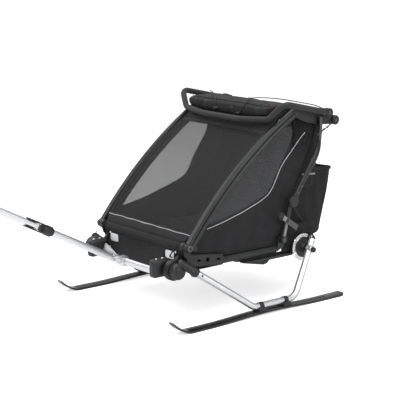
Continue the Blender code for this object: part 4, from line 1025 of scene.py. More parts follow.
def onPole(distance, rise=0.0):
    tilt = math.radians(pole["pitch"])
    y = pole["pivot"][0] - distance * math.cos(tilt) + rise * math.sin(tilt)
    return at(y, pole["pivot"][1] + distance * math.sin(tilt) + rise * math.cos(tilt))


def barrel(half, full, inner, rim):
    # a short cylinder with softened rims, about its middle
    return [(-half, 0.0), (-half, inner), (-full, rim), (full, rim), (half, inner), (half, 0.0)]


poleWay = (onPole(1) - onPole(0)).normalized()
poleUp = (onPole(0, 1) - onPole(0)).normalized()

shaft = tube("poleShaft", [onPole(0.024), onPole(0.15), onPole(0.30), onPole(pole["rearLength"] - 0.0006)],
             pole["radius"],
             "aluminium", 40, 0.0008)
knuckle = turned("poleKnuckle", barrel(0.0148, 0.0138, 0.0140, 0.0153), onPole(0), (1, 0, 0), "aluminium", 40)
tongue = cuboid("poleTongue", turnedTo(Vector((1, 0, 0)), poleWay, poleUp, onPole(0.015)), pole["tongue"],
                "aluminium", 0.0050, 4)
mount(merged("pole_rear_tube_shown", [shaft, knuckle, tongue]), "pole_rear_tube")

coupler = refined("pole_coupler", "moulded", 0.0011)
ringStart = pole["couplerStart"]
collar = turned("couplerCollar", [(0.0, 0.0170), (0.0, 0.0195), (0.0035, 0.0212), (0.0110, 0.0250), (0.0150, 0.0250),
                                  (0.0158, 0.0244)],
                onPole(ringStart - 0.001), poleWay)
ribProfile = [(0.0, 0.0240), (0.0006, 0.0249), (0.0028, 0.0249), (0.0034, 0.0240)]
ribs = [turned("couplerRib", ribProfile, onPole(ringStart + 0.020 + pole["ribPitch"] * i), poleWay) for i in range(3)]
prongTop = 0.0170 + pole["prongHeight"] - 0.0006
heads = [rivet("couplerPin", onPole(pole["foldAt"], k * prongTop), poleUp * k, 0.0072, 0.0024,
               "disc") for k in (1, -1)]
mount(merged("pole_coupler_shown", [coupler, collar] + ribs + heads), "pole_coupler")

shaft = tube("poleFront", [onPole(pole["foldAt"] + 0.004), onPole(0.75), onPole(1.0), onPole(pole["endAt"])],
             pole["radius"],
             "aluminium", 40, 0.0)
nose = turned("poleNose", barrel(0.0155, 0.0140, 0.0150, 0.0162), onPole(pole["foldAt"]), poleUp, "aluminium", 40)
mount(merged("pole_front_tube_shown", [shaft, nose]), "pole_front_tube")
mount(refined("pole_end_lug", "moulded"), "pole_end_lug")

foot = refined("pole_bracket", "aluminium")
pins = [rivet("footPin", at(*pole["pivot"], s * 0.0232), (s, 0, 0), 0.0066, 0.0022, "disc") for side, s in sides]
mount(merged("pole_bracket_shown", [foot] + pins), "pole_bracket")
print("tow pole done")

# axle, discs, carriers and calipers

brake = {"discX": 0.3605, "thickness": 0.002, "radius": 0.070, "band": 0.017, "hubEdge": 0.026, "spokes": 6,
         "spokeHalf": 0.0036, "lean": 0.22, "carrierEnd": 0.3845, "bore": 0.0123, "holes": 30, "holeRadius": 0.0021,
         "bolts": 6, "boltCircle": 0.0268, "caliperAngle": 38.0, "caliperFar": 0.068,
         "shroud": [(0.0023, 0.0130), (0.0023, 0.0510), (0.0030, 0.0518), (0.0040, 0.0512), (0.0048, 0.0480),
                    (0.0052, 0.0290), (0.0052, 0.0130)]}


def discOutlines():
    # rim, bore and the openings between the slanting spokes
    lines = [[Vector((a, b, 0)) for a, b in circle(radius, count)] for radius,
             count in ((brake["radius"], 96), (brake["bore"], 32))]
    inner, edge, spoke = brake["radius"] - brake["band"], brake["hubEdge"], brake["spokeHalf"]
    for k in range(brake["spokes"]):
        a = 2 * math.pi * k / brake["spokes"]
        b = 2 * math.pi * (k + 1) / brake["spokes"]
        outer = [(inner, a + spoke / inner + (b - a - 2 * spoke / inner) * i / 12) for i in range(13)]
        near = [(edge, b - spoke / edge - (b - a - 2 * spoke / edge) * i / 6 - brake["lean"]) for i in range(7)]
        lines.append([Vector((r * math.cos(t), r * math.sin(t), 0)) for r, t in outer + near])
    return lines


def brakeDisc(side, s):
    plate = grown("brake_disc_shown_" + side, curveOf("hostLine", discOutlines(), True), perforated,
                  holes=brake["holes"], hole=brake["holeRadius"])
    middle = s * (brake["discX"] + brake["thickness"] / 2)
    plate.data.transform(Matrix(((0, 0, 1, middle), (1, 0, 0, axleY), (0, 1, 0, runner["axleZ"]), (0, 0, 0, 1))))
    bm = bmesh.new()
    bm.from_mesh(plate.data)
    bmesh.ops.remove_doubles(bm, verts=bm.verts, dist=0.00001)
    bmesh.ops.recalc_face_normals(bm, faces=bm.faces)
    bm.to_mesh(plate.data)
    bm.free()
    mount(thicken(plate, brake["thickness"]), "brake_disc_" + side)


def discCarrier(side, s):
    face = brake["discX"] + brake["thickness"] + 0.0003
    deep = brake["carrierEnd"] - face
    body = turned("carrierBody", [(0.0, 0.0130), (0.0, 0.0290), (0.0012, 0.0300), (0.0050, 0.0300), (0.0065, 0.0255),
                                  (deep - 0.004, 0.0240),
                                  (deep - 0.001, 0.0225), (deep, 0.0205), (deep, 0.0140), (deep - 0.001, 0.0130),
                                  (0.0, 0.0130)],
                  at(0, runner["axleZ"], s * face), (s, 0, 0), sides=60)
    angles = [2 * math.pi * (k + 0.5) / brake["bolts"] for k in range(brake["bolts"])]
    spots = [at(brake["boltCircle"] * math.cos(a), runner["axleZ"] + brake["boltCircle"] * math.sin(a),
                s * (face + 0.0056)) for a in angles]
    heads = screws(spots, (s, 0, 0), 0.0030, 0.0020, "powder")
    shroud = turned("carrierShroud", brake["shroud"], at(0, runner["axleZ"], s * brake["discX"]), (s, 0, 0), sides=64)
    mount(merged("disc_carrier_shown_" + side, [body, heads, shroud]), "disc_carrier_" + side)


def brakeCaliper(side, s):
    node = "brake_caliper_" + side
    tilt = math.radians(brake["caliperAngle"])
    along = Vector((0.0, math.cos(tilt), math.sin(tilt)))
    across = Vector((0.0, -math.sin(tilt), math.cos(tilt)))
    middle = at(0, runner["axleZ"], s * (brake["discX"] + 0.001)) + along * brake["caliperFar"]
    spots = [middle + across * 0.012 * k + Vector((s * 0.0152, 0, 0)) for k in (-1, 1)]
    mount(merged(node + "_shown", [refined(node, "moulded"), screws(spots, (s, 0, 0), 0.0042, 0.0028)]), node)


perforated = discTree("disc")
for side, s in sides:
    brakeDisc(side, s)
    discCarrier(side, s)
    brakeCaliper(side, s)
mount(refined("axle_beam", "powder", 0.0015), "axle_beam")
print("axle and brakes done")

# front brackets, rails, floor and reflectors

chassis = {"railX": 0.318, "railZ": 0.264, "railRadius": 0.0205, "railFront": -0.5097, "railEnd": -0.115,
           "strutFoot": (-0.128, 0.312), "bracketX": (0.290, 0.338), "pin": (-0.742, 0.363), "pinEnd": 0.3663,
           "bracketHoles": ((-0.660, 0.287, 0.0245, 0.0125, 0.55), (-0.540, 0.277, 0.0245, 0.0125, 0.55),
                            (-0.607, 0.283, 0.0245, 0.0245, 1.0)),     # place, width, height, squareness
           "pinCap": [(0.0, 0.0160), (0.0040, 0.0160), (0.0090, 0.0140), (0.0090, 0.0095), (0.0080, 0.0085),
                      (0.0080, 0.0045), (0.0072, 0.0040), (0.0072, 0)],
           "railPin": [(0.0, 0.006), (0.0236, 0.006), (0.0240, 0.0098), (0.0252, 0.0098), (0.0262, 0.0078),
                       (0.0262, 0.0)]}


def frontBracket(side, s):
    node = "front_bracket_" + side
    body = refined(node, "moulded")
    outerX = s * chassis["bracketX"][1]
    # a thin strip lies along the bracket's sloping top
    strip = sweep("bracketStrip", [at(y, 0.3264 - 0.030 * (y + 0.7465) / 0.2365,
                                      s * 0.3335) for y in (-0.735, -0.68, -0.62, -0.56, -0.515)],
                  bandSection(0.0035, -0.001, 0.0012), "webbing", upHint=(0, 0, 1))
    rims = []
    for y, z, wide, high, power in chassis["bracketHoles"]:
        line = squaredLoop(wide, high, (power, power), 28, lambda a, b: at(y + a, z + b, outerX))
        rims.append(sweep("holeRim", line, bandSection(0.0012, -0.001, 0.0009, 0.0009), upHint=(s, 0, 0),
                          closed=True))
    cap = turned("pinCap", chassis["pinCap"], at(*chassis["pin"], s * (chassis["pinEnd"] + 0.0006)), (s, 0, 0),
                 "leverGrey", 40)
    mount(merged(node + "_shown", [body, strip, cap] + rims), node)


def lowerRail(side, s):
    x, z, end = s * chassis["railX"], chassis["railZ"], chassis["railEnd"]
    rail = tube("railTube", roundedLine([at(chassis["railFront"], z, x), at(end - 0.035, z, x),
                                         at(end, z + 0.020, x)], [0.05], 8),
                chassis["railRadius"], "post", 36, 0.004)
    footY, footZ = chassis["strutFoot"]
    lug = [(footY - 0.030, 0.266), (footY + 0.012, 0.266), (footY + 0.020, footZ + 0.008),
           (footY + 0.012, footZ + 0.0155),
           (footY - 0.012, footZ + 0.0155), (footY - 0.020, footZ + 0.008)]
    ear = plateAlongX("railEar", lug, s * 0.314, s * 0.3433, "powder", 0.0015)
    pin = turned("railPin", chassis["railPin"], at(footY, footZ, s * 0.3395), (s, 0, 0), "leverGrey", 28)
    joint = turned("railJoint", [(-0.003, 0.0196), (-0.003, 0.0214), (0.003, 0.0214), (0.003, 0.0196)],
                   at(-0.256, z, x), (0, 1, 0), sides=36)
    endCap = turned("railCap", [(-0.0008, 0.0160), (0.0, 0.0178), (0.0014, 0.0168), (0.0018, 0.0)],
                    at(end + 0.0006, z + 0.0204, x),
                    (0, 0.868, 0.496), sides=32)
    mount(merged("lower_rail_shown_" + side, [rail, ear, pin, joint, endCap]), "lower_rail_" + side)


def frontReflector(side):
    node = "front_reflector_" + side
    low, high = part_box(node)
    lens = refined(node, "reflector", 0.0011)
    middle = (low + high) / 2
    edge = squaredLoop(high.x - low.x, high.z - low.z, (0.42, 0.42), 48, lambda a,
                       b: Vector((middle.x + a, low.y + 0.0028, middle.z + b)))
    rim = sweep("reflectorRim", edge, [(-0.0011, -0.0030), (0.0008, -0.0030), (0.0008, 0.0022), (-0.0004, 0.0026)],
                upHint=(0, -1, 0), closed=True)
    mount(merged(node + "_shown", [lens, rim]), node)


for side, s in sides:
    frontBracket(side, s)
    lowerRail(side, s)
    frontReflector(side)

tray = [refined("floor_tray", "moulded")]
for i in range(7):   # pressed beads stiffen the footwell
    line = [at(y, 0.2262, -0.21 + 0.07 * i) for y in (-0.715, -0.66, -0.60, -0.54, -0.495)]
    tray.append(sweep("floorBead", line, bandSection(0.007, -0.0005, 0.0024, 0.0045), upHint=(0, 0, 1)))
mount(merged("floor_tray_shown", tray), "floor_tray")
print("chassis done")

# uprights, top rails and cross tube

frameSizes = {"uprightX": 0.3525, "width": 0.027, "depth": 0.050, "bottom": (-0.748, 0.386), "top": (-0.085, 0.966),
              "bend": 2.2,
              "stations": 56, "waist": 0.42, "railX": 0.3465, "railWidth": 0.033, "crossY": 0.209, "crossZ": 0.889,
              "crossRadius": 0.024, "crossHalf": 0.374,
              "foot": [(0.0, 0.0098), (0.0, 0.0190), (0.0018, 0.0208), (0.0055, 0.0208), (0.0062, 0.0196),
                       (0.0208, 0.0196),
                       (0.0215, 0.0208), (0.0252, 0.0208), (0.0270, 0.0190), (0.0270, 0.0098)],
              "footTab": [(-0.735, 0.352), (-0.698, 0.342), (-0.690, 0.352), (-0.703, 0.392), (-0.712, 0.398)],
              "railStep": [(-0.045, 0.935), (0.010, 0.922), (0.080, 0.906), (0.120, 0.904), (0.165, 0.902),
                           (0.170, 0.918),
                           (0.100, 0.930), (0.000, 0.949), (-0.045, 0.957)],
              "railScrews": ((-0.056, 0.943), (0.180, 0.880)),
              "crossCap": [(-0.014, 0.0), (-0.014, 0.0236), (-0.0125, 0.0241), (-0.004, 0.0241), (0.0, 0.0205),
                           (0.0, 0.0150),
                           (-0.0018, 0.0140), (-0.0018, 0)],
              "grommet": [(-0.0030, 0.0029), (-0.0030, 0.0058), (0.0012, 0.0058), (0.0022, 0.0048), (0.0022, 0.0029)]}


def uprightFront(t):
    # a point (Y, Z) on the uprights' front edge, t from 0 at the foot to 1 at the top
    foot, head = Vector(frameSizes["bottom"]), Vector(frameSizes["top"])
    chord = head - foot
    half = math.asin(chord.length / 2 / frameSizes["bend"])
    centre = (foot + head) / 2 + Vector((chord.y, -chord.x)).normalized() * frameSizes["bend"] * math.cos(half)
    out = Matrix.Rotation(-2 * half * t, 2) @ (foot - centre)
    return centre + out, Vector((out.y, -out.x)).normalized()


def uprightCentre(t, inset):
    point, direction = uprightFront(t)
    return point + Vector((direction.y, -direction.x)) * inset


def uprightSection():
    # two round ribs with a groove between them on each side
    lobe = frameSizes["width"] / 2
    reach = frameSizes["depth"] / 2 - lobe
    waist = lobe * frameSizes["waist"]
    half = [(lobe * math.cos(a),
             reach + lobe * math.sin(a)) for a in [math.radians(-38 + 256 * i / 22) for i in range(23)]]
    half += [(-waist, 0.0028), (-waist, -0.0028)]
    return half + [(-a, -b) for a, b in half]


for side, s in sides:
    centres = [uprightCentre(i / frameSizes["stations"],
                             frameSizes["depth"] / 2) for i in range(frameSizes["stations"] + 1)]
    post = sweep("post", [at(p.x, p.y, s * frameSizes["uprightX"]) for p in centres], uprightSection(), "post",
                 upHint=(0, -0.66, 0.75))
    foot = turned("postFoot", frameSizes["foot"], at(*chassis["pin"],
                                                     s * (frameSizes["uprightX"] - frameSizes["width"] / 2)),
                  (s, 0, 0), "powder")
    tab = plateAlongX("footTab", frameSizes["footTab"], s * 0.3425, s * 0.3625, "moulded", 0.0030, 3)
    mount(merged("front_upright_" + side + "_shown", [post, foot, tab]), "front_upright_" + side)

    node = "top_rail_" + side
    body = refined(node, "moulded", 0.0018, 3, 30)
    out = s * (frameSizes["railX"] + frameSizes["railWidth"] / 2)
    # a moulded step runs along the outer face, with a screw near each end
    step = plateAlongX("railStep", frameSizes["railStep"], out - s * 0.001, out + s * 0.0022, "moulded", 0.0018, 3)
    heads = [at(y, z, out + s * 0.0004) for y, z in frameSizes["railScrews"]]
    mount(merged(node + "_shown", [body, step, screws(heads, (s, 0, 0), 0.0046, 0.0028, "leverGrey")]), node)

half, crossY, crossZ = frameSizes["crossHalf"], frameSizes["crossY"], frameSizes["crossZ"]
tubeLine = [at(crossY, crossZ, x) for x in (-half + 0.012, -0.2, 0, 0.2, half - 0.012)]
pieces = [sweep("crossBody", tubeLine, circle(frameSizes["crossRadius"], 48), "powder")]
for side, s in sides:
    pieces.append(turned("crossCap", frameSizes["crossCap"], at(crossY, crossZ, s * half), (s, 0, 0)))
    pieces.append(turned("crossCapCentre", [(0.0, 0.0), (0.0, 0.0085), (0.0010, 0.0078), (0.0012, 0.0)],
                         at(crossY, crossZ, s * (half - 0.0012)), (s, 0, 0), "leverGrey", 32))
for x in cable["holes"]:   # grommets where the cable goes in
    pieces.append(turned("grommet", frameSizes["grommet"], at(crossY, crossZ + frameSizes["crossRadius"], x),
                         (0, 0, 1), sides=24))
mount(merged("rear_cross_tube_shown", pieces), "rear_cross_tube")
print("upper frame done")

# locking struts, levers and push bar

strut = {"low": (-0.128, 0.312), "mid": (-0.081, 0.506), "bend": (0.089, 0.750), "bendRadius": 0.17,
         "top": (0.098, 0.900),
         "lowX": 0.354, "upX": 0.3722, "rod": 0.0088, "leverPivot": (-0.1185, 0.412), "leverX": 0.3660,
         "leverDrop": 33.8,
         "disc": [(-0.0083, 0.0), (-0.0083, 0.0290), (-0.0070, 0.0307), (0.0060, 0.0307), (0.0075, 0.0292),
                  (0.0085, 0.0280), (0.0085, 0.0)],
         "sleeve": [(0.0, 0.0084), (0.0, 0.0094), (0.0012, 0.0104), (0.102, 0.0104), (0.104, 0.0094),
                    (0.104, 0.0084)],
         "plate": ((0.0885, 0.800, 0.0098), (0.0895, 0.820, 0.0102), (0.093, 0.870, 0.0102), (0.092, 0.916, 0.0098)),
         "stay": ((0.090, 0.806, 0.004), (0.112, 0.842, 0.0), (0.150, 0.857, -0.004), (0.186, 0.872, -0.012)),
         "rivets": (0.13, 0.20), "bands": ((0.44, "moulded"), (0.86, "leverGrey"))}
lever = {   # name, along, across, out from the pivot's plane, finish, edge
    "parts": [("leverBlade", (-0.066, 0.086), (-0.0145, 0.0145), (0.0002, 0.0045), "leverGrey", 0.0016),
              ("leverRidge", (-0.034, 0.080), (0.0085, 0.0135), (0.0040, 0.0058), "leverGrey", 0.0008),
              ("leverRidge", (-0.034, 0.080), (-0.0135, -0.0085), (0.0040, 0.0058), "leverGrey", 0.0008),
              ("leverGrip", (-0.0662, -0.036), (-0.0178, 0.0178), (0.0, 0.0128), "moulded", 0.0035),
              ("leverBridge", (-0.034, -0.010), (-0.0120, 0.0120), (0.0030, 0.0090), "dullMetal", 0.0020)],
    "boss": [(0.0, 0.0), (0.0, 0.0105), (0.0056, 0.0105), (0.0066, 0.0092), (0.0066, 0.0050), (0.0058, 0.0045),
             (0.0058, 0.0)]}
ridges = [("gripRidge", (-0.062 + 0.0052 * i, -0.0598 + 0.0052 * i), (-0.0150, 0.0150), (0.0118, 0.0138), "moulded",
           0.0006) for i in range(5)]


def pierced(half, full, bore, inner, rim):
    # a short eye with a bore and softened rims
    return [(-half, bore), (-half, inner), (-full, rim), (full, rim), (half, inner), (half, bore)]


def strutScale(t):
    # thicker at the bend, thinner towards the top
    return 1.0 + 0.35 * math.exp(-((t - 0.54) / 0.15) ** 2) - 0.24 * min(1.0, max(0.0, (t - 0.70) / 0.10))


def lowerStrut(side, s):
    x = s * strut["lowX"]
    low, mid = at(*strut["low"], x), at(*strut["mid"], x)
    pieces = [tube("strutRod", [low, low.lerp(mid, 0.5), mid], strut["rod"], "dullMetal", 32, 0.0),
              turned("strutEye", pierced(0.0098, 0.0080, 0.0066, 0.0165, 0.0188), low, (s, 0, 0), sides=40),
              turned("strutKnob", barrel(0.0088, 0.0075, 0.0200, 0.0218), mid, (s, 0, 0), sides=40),
              turned("leverPin", [(0.0, 0.0078), (0.0122, 0.0078), (0.0122, 0.0)],
                     at(*strut["leverPivot"], s * (strut["lowX"] + 0.0030)), (s, 0, 0), "leverGrey", 24),
              turned("strutSleeve", strut["sleeve"], low.lerp(mid, 0.46), (mid - low).normalized(), "post", 32)]
    mount(merged("lower_strut_shown_" + side, pieces), "lower_strut_" + side)


def upperStrut(side, s):
    x = s * strut["upX"]
    mid, top = at(*strut["mid"], x), at(*strut["top"], x)
    line = evenLine(roundedLine([mid, at(*strut["bend"], x), top], [strut["bendRadius"]], 14), 0.012)
    total = len(line) - 1
    six = turned("knobSix", [(0.0080, 0.0), (0.0080, 0.0300), (0.0110, 0.0290), (0.0122, 0.0270), (0.0124, 0.0)], mid,
                 (s, 0, 0), "post", 6, 20)
    pieces = [sweep("strutArm", line, ovalSection(0.0155, 0.0250), "post", upHint=(0, 1.0, -0.7), scaleAt=strutScale),
              turned("knobDisc", strut["disc"], mid, (s, 0, 0)), softEdges(six, 0.0008),
              turned("strutTopEye", pierced(0.0083, 0.0070, 0.0066, 0.0140, 0.0153), top, (s, 0, 0), sides=36),
              rivet("topPin", at(*strut["top"], s * (strut["upX"] + 0.0080)), (s, 0, 0), 0.0062, 0.0024, "leverGrey")]
    for share in strut["rivets"]:
        spot = line[int(total * share)] + Vector((s * 0.0070, 0, 0))
        pieces.append(rivet("strutRivet", spot, (s, 0, 0), 0.0046, 0.0020, "leverGrey"))
    for share, finish in strut["bands"]:
        spot = line[int(total * share)]
        way = (line[int(total * share) + 1] - spot).normalized()
        pieces.append(sweep("strutBand", [spot + way * far for far in (-0.007, -0.006, 0.006, 0.007)],
                            ovalSection(0.0168, 0.02523),
                            finish, upHint=(0, 0.6, 0.8)))
    pieces.append(sweep("strutPlate", [at(y, z, x + s * out) for y, z, out in strut["plate"]],
                        ovalSection(0.0034, 0.0165, 8),
                        "leverGrey", upHint=(0, 1, 0)))
    mount(merged("upper_strut_shown_" + side, pieces), "upper_strut_" + side)


def rearStay(side, s):
    line = smoothLine([at(y, z, s * (strut["upX"] + out)) for y, z, out in strut["stay"]])
    pieces = [sweep("rearStay", line, circle(0.0030, 12))]
    for i in (5, 11, 17):
        way = (line[i + 1] - line[i]).normalized() * 0.004
        pieces.append(sweep("stayKnuckle", [line[i] - way, line[i] + way], circle(0.0048, 14), "leverGrey"))
    mountTrim([merged("rearStay_" + side, pieces)], "upper_frame")


def foldLever(side, s):
    drop = math.radians(strut["leverDrop"])
    along = Vector((0, math.cos(drop), -math.sin(drop)))
    up = Vector((0, math.sin(drop), math.cos(drop)))
    pivot = at(*strut["leverPivot"], s * strut["leverX"])
    turn = turnedTo(Vector((1, 0, 0)), along, up, pivot)

    def part(name, yReach, zReach, xReach, finish, edge):
        (yLow, yHigh), (zLow, zHigh), (xLow, xHigh) = yReach, zReach, xReach
        middle = Matrix.Translation((s * (xLow + xHigh) / 2, (yLow + yHigh) / 2, (zLow + zHigh) / 2))
        return cuboid(name, turn @ middle, (xHigh - xLow, yHigh - yLow, zHigh - zLow), finish, edge, 3)

    pieces = [part(*entry) for entry in lever["parts"]]
    pieces.append(turned("leverBoss", lever["boss"], pivot, (s, 0, 0), sides=32))
    pieces += [part(*entry) for entry in ridges]
    mount(merged("fold_lever_shown_" + side, pieces), "fold_lever_" + side)


for side, s in sides:
    lowerStrut(side, s)
    upperStrut(side, s)
    rearStay(side, s)
    foldLever(side, s)

push = {"x": 0.397, "pivot": (0.125, 0.937), "apex": (-0.176, 1.004), "frontX": 0.322, "front": (-0.210, 0.922),
        "bowX": 0.150,
        "bow": (-0.237, 0.909), "radius": 0.0155, "corner": 0.045, "bowRadius": 0.50, "seamAt": 0.16,
        "hub": [(0.0, 0.0), (0.0, 0.0215), (0.0015, 0.0230), (0.0100, 0.0230), (0.0112, 0.0218), (0.0132, 0.0218),
                (0.0144, 0.0230),
                (0.0290, 0.0230), (0.0310, 0.0212), (0.0310, 0.0135), (0.0296, 0.0125), (0.0296, 0.0)],
        "hubCentre": [(0.0288, 0.0), (0.0288, 0.0098), (0.0304, 0.0090), (0.0306, 0.0)],
        "sleeve": [(0.018, 0.0150), (0.018, 0.0162), (0.0195, 0.0170), (0.050, 0.0170), (0.0515, 0.0160),
                   (0.0515, 0.0150)],
        "seam": [(0.0, 0.0150), (0.0004, 0.0157), (0.0022, 0.0157), (0.0026, 0.0150)]}
right, left = [[at(*push["pivot"], s * push["x"]), at(*push["apex"], s * push["x"]),
                at(*push["front"], s * push["frontX"]),
                at(*push["bow"], s * push["bowX"])] for s in (1, -1)]
bends = [push["corner"], push["corner"], push["bowRadius"]]
line = roundedLine(right + left[::-1], bends + bends[::-1], 14)
pieces = [sweep("pushFoam", line, circle(push["radius"] - 0.0004, 36), "foam")]
way = (at(*push["apex"]) - at(*push["pivot"])).normalized()
for side, s in sides:
    pivot = at(*push["pivot"], s * (push["x"] - push["radius"]))
    root = at(*push["pivot"], s * push["x"])
    pieces.append(turned("pushHub", push["hub"], pivot, (s, 0, 0)))
    pieces.append(turned("pushHubCentre", push["hubCentre"], pivot, (s, 0, 0), "leverGrey", 32))
    pieces.append(turned("pushSleeve", push["sleeve"], root, way, sides=36))
    pieces.append(turned("foamSeam", push["seam"], root + way * push["seamAt"], way, sides=36))
mount(merged("handlebar_shown", pieces), "handlebar")
print("struts and push bar done")

# cloth: flat patches cut to an outline, then laid in place


def inside(point, outline):
    x, y = point
    hit = False
    for (ax, ay), (bx, by) in zip(outline, outline[1:] + outline[:1]):
        if (ay > y) != (by > y) and x < (bx - ax) * (y - ay) / (by - ay) + ax:
            hit = not hit
    return hit


def edgeDistance(point, outline):
    p = Vector(point)
    best = 9.0
    for a, b in zip(outline, outline[1:] + outline[:1]):
        a, b = Vector(a), Vector(b)
        run = b - a
        t = max(0.0, min(1.0, (p - a).dot(run) / max(run.length_squared, 1e-12)))
        best = min(best, (p - a - run * t).length)
    return best


def evenOutline(outline, step):
    out = []
    for a, b in zip(outline, outline[1:] + outline[:1]):
        a, b = Vector(a), Vector(b)
        parts = max(1, round((b - a).length / step))
        out += [tuple(a.lerp(b, i / parts)) for i in range(parts)]
    return out


def clothPatch(name, outline, areas, pitch, lay, finishNames, thickness):
    # areas are inner outlines whose faces take the later finishes; lay puts a flat point in space
    rim = evenOutline(outline, pitch)
    points, edges = [], []
    for loop in [rim] + [evenOutline(area, pitch * 0.7) for area in areas]:
        first = len(points)
        points += [Vector(p) for p in loop]
        edges += [(first + i, first + (i + 1) % len(loop)) for i in range(len(loop))]
    lowX, highX = min(p[0] for p in rim), max(p[0] for p in rim)
    lowY, highY = min(p[1] for p in rim), max(p[1] for p in rim)
    row = 0
    y = lowY + pitch / 2
    while y < highY:
        x = lowX + pitch * (0.5 if row % 2 else 1.0)
        while x < highX:
            clear = inside((x, y), rim) and edgeDistance((x, y), rim) > pitch * 0.55
            if clear and all(edgeDistance((x, y), area) > pitch * 0.5 for area in areas):
                points.append(Vector((x, y)))
            x += pitch
        y += pitch * 0.87
        row += 1
    flat, _, faces, *rest = geometry.delaunay_2d_cdt(points, edges, [], 1, 0.00001)
    bm = bmesh.new()
    uv = bm.loops.layers.uv.new("map")
    verts = [bm.verts.new(lay(p.x, p.y)) for p in flat]
    for face in faces:
        middle = sum((flat[i] for i in face), Vector((0, 0))) / len(face)
        if not inside(middle, rim):
            continue
        made = bm.faces.new([verts[i] for i in face])
        for loop, i in zip(made.loops, face):
            loop[uv].uv = flat[i]
        for k, area in enumerate(areas):
            if inside(middle, area):
                made.material_index = k + 1
    bmesh.ops.delete(bm, geom=[v for v in bm.verts if not v.link_faces], context="VERTS")
    piece = addPiece(name, bm, finishNames[0], 60)
    for extra in finishNames[1:]:
        piece.data.materials.append(finishes[extra])
    return thicken(piece, thickness)


def flap(name, outline, pitch, lay, finish, thickness=0.0012):
    return clothPatch(name, outline, [], pitch, lay, [finish], thickness)


def sheetFaces(bm, uv, grid, mapAt, closed=False):
    # faces between the rows of a grid of points; mapAt(row, column) gives the map
    for r in range(len(grid) - 1):
        for c in range(len(grid[r]) - (0 if closed else 1)):
            k = (c + 1) % len(grid[r])
            faceWithMap(bm, uv, (grid[r][c], grid[r][k], grid[r + 1][k], grid[r + 1][c]),
                        (mapAt(r, c), mapAt(r, c + 1), mapAt(r + 1, c + 1), mapAt(r + 1, c)))


def seams(name, lines, pitch=0.0065, length=0.0045, thickness=0.0006):
    return grown(name, curveOf("hostLine", lines), stitchTree("thread"), pitch=pitch, stitch=length, thread=thickness)


def foldNoise(p, scale, seed):
    return noise.noise(Vector(p) * scale + Vector((seed, seed * 0.7, -seed)))


def spread(low, high, parts):
    # evenly spaced values from low to high
    return [low + (high - low) * i / parts for i in range(parts + 1)]


def clamp(value, low=0.0, high=1.0):
    return min(high, max(low, value))


# front cover: net window in a cloth border, hem below a pale piping

front = {"reach": 0.797, "inset": 0.0135, "half": 0.3387, "footHalf": 0.316, "corner": 0.040, "border": 0.024,
         "thickness": 0.0011,
         "bow": 0.004, "netFoot": 0.055, "netHead": 0.012, "pipingAt": 0.0455, "seamsAt": (0.0515, 0.012),
         "flapHalf": 0.3135}
steps = [uprightCentre(front["reach"] * i / 60, front["inset"]) for i in range(61)]
frontLength = sum((b - a).length for a, b in zip(steps, steps[1:]))


def frontLay(x, v, out=(0, 0)):
    # x across, v metres up the cover from its foot, out how far it is pushed in Y and Z
    t = front["reach"] * v / frontLength
    way = uprightFront(t)[1]
    u = x / front["half"]
    bow = front["bow"] * (1 - u * u) * min(1.0, v / 0.10)
    bow += 0.0016 * foldNoise((x, v, 0), 5.0, 3.1) * (1 - u ** 8)
    sag = 0.0028 * math.exp(-((v - 0.030) / 0.012) ** 2) * (1 - u ** 6)   # the hem's fold
    p = uprightCentre(t, front["inset"]) + Vector((-way.y, way.x)) * (bow + sag)
    return at(p.x + out[0], p.y + out[1], x)


foot, half, corner = front["footHalf"], front["half"], front["corner"]
frontOutline = [(-foot, 0.0), (foot, 0.0), (foot, 0.012), (half, corner), (half, frontLength), (-half, frontLength),
                (-half, corner), (-foot, 0.012)]
edge = half - front["border"]
netTop = frontLength - front["netHead"]
netArea = [(-edge, front["netFoot"]), (edge, front["netFoot"]), (edge, netTop), (-edge, netTop)]
cover = clothPatch("front_cover_shown", frontOutline, [netArea], 0.011, frontLay, ["fabric", "frontNet"],
                   front["thickness"])
across = range(-40, 41)
frontTrim = [
    sweep("frontPiping", [frontLay(x / 40 * 0.331, front["pipingAt"] + 0.0010 * math.sin(x * 0.4),
                                   (-0.0012, 0.0010)) for x in across],
          circle(0.0014, 10), "piping"),
    sweep("frontHem", [frontLay(x / 40 * 0.3155, 0.0035, (-0.0010, 0)) for x in across], circle(0.0022, 10),
          "fabricPlain")]
for s in (-1, 1):
    cord = [frontLay(s * (half - 0.0022), 0.045 + (frontLength - 0.05) * i / 60,
                     (-0.0010, 0.0008)) for i in range(61)]
    frontTrim.append(sweep("frontEdgeCord", cord, circle(0.0020, 10), "fabricPlain"))
over = (-0.0009, 0.0007)
lines = [[frontLay(x / 30 * edge, v, over) for x in range(-30, 31)] for v in (*front["seamsAt"], frontLength - 0.008)]
for s in (-1, 1):
    lines.append([frontLay(s * (edge + 0.0035), 0.07 + (frontLength - 0.105) * i / 40, over) for i in range(41)])
frontTrim.append(seams("frontSeams", lines))


def flapLay(x, v):
    # hangs from the hem over the panel's upper edge
    drop = min(1.0, v / 0.022)
    y = -0.7425 - 0.0085 * drop + 0.0007 * foldNoise((x, v, 0.4), 18, 2.6)
    return at(y - 0.0018 * (1 - (x / 0.312) ** 2) * drop, 0.3800 - v + 0.0010 * math.sin(x * 23) * drop, x)


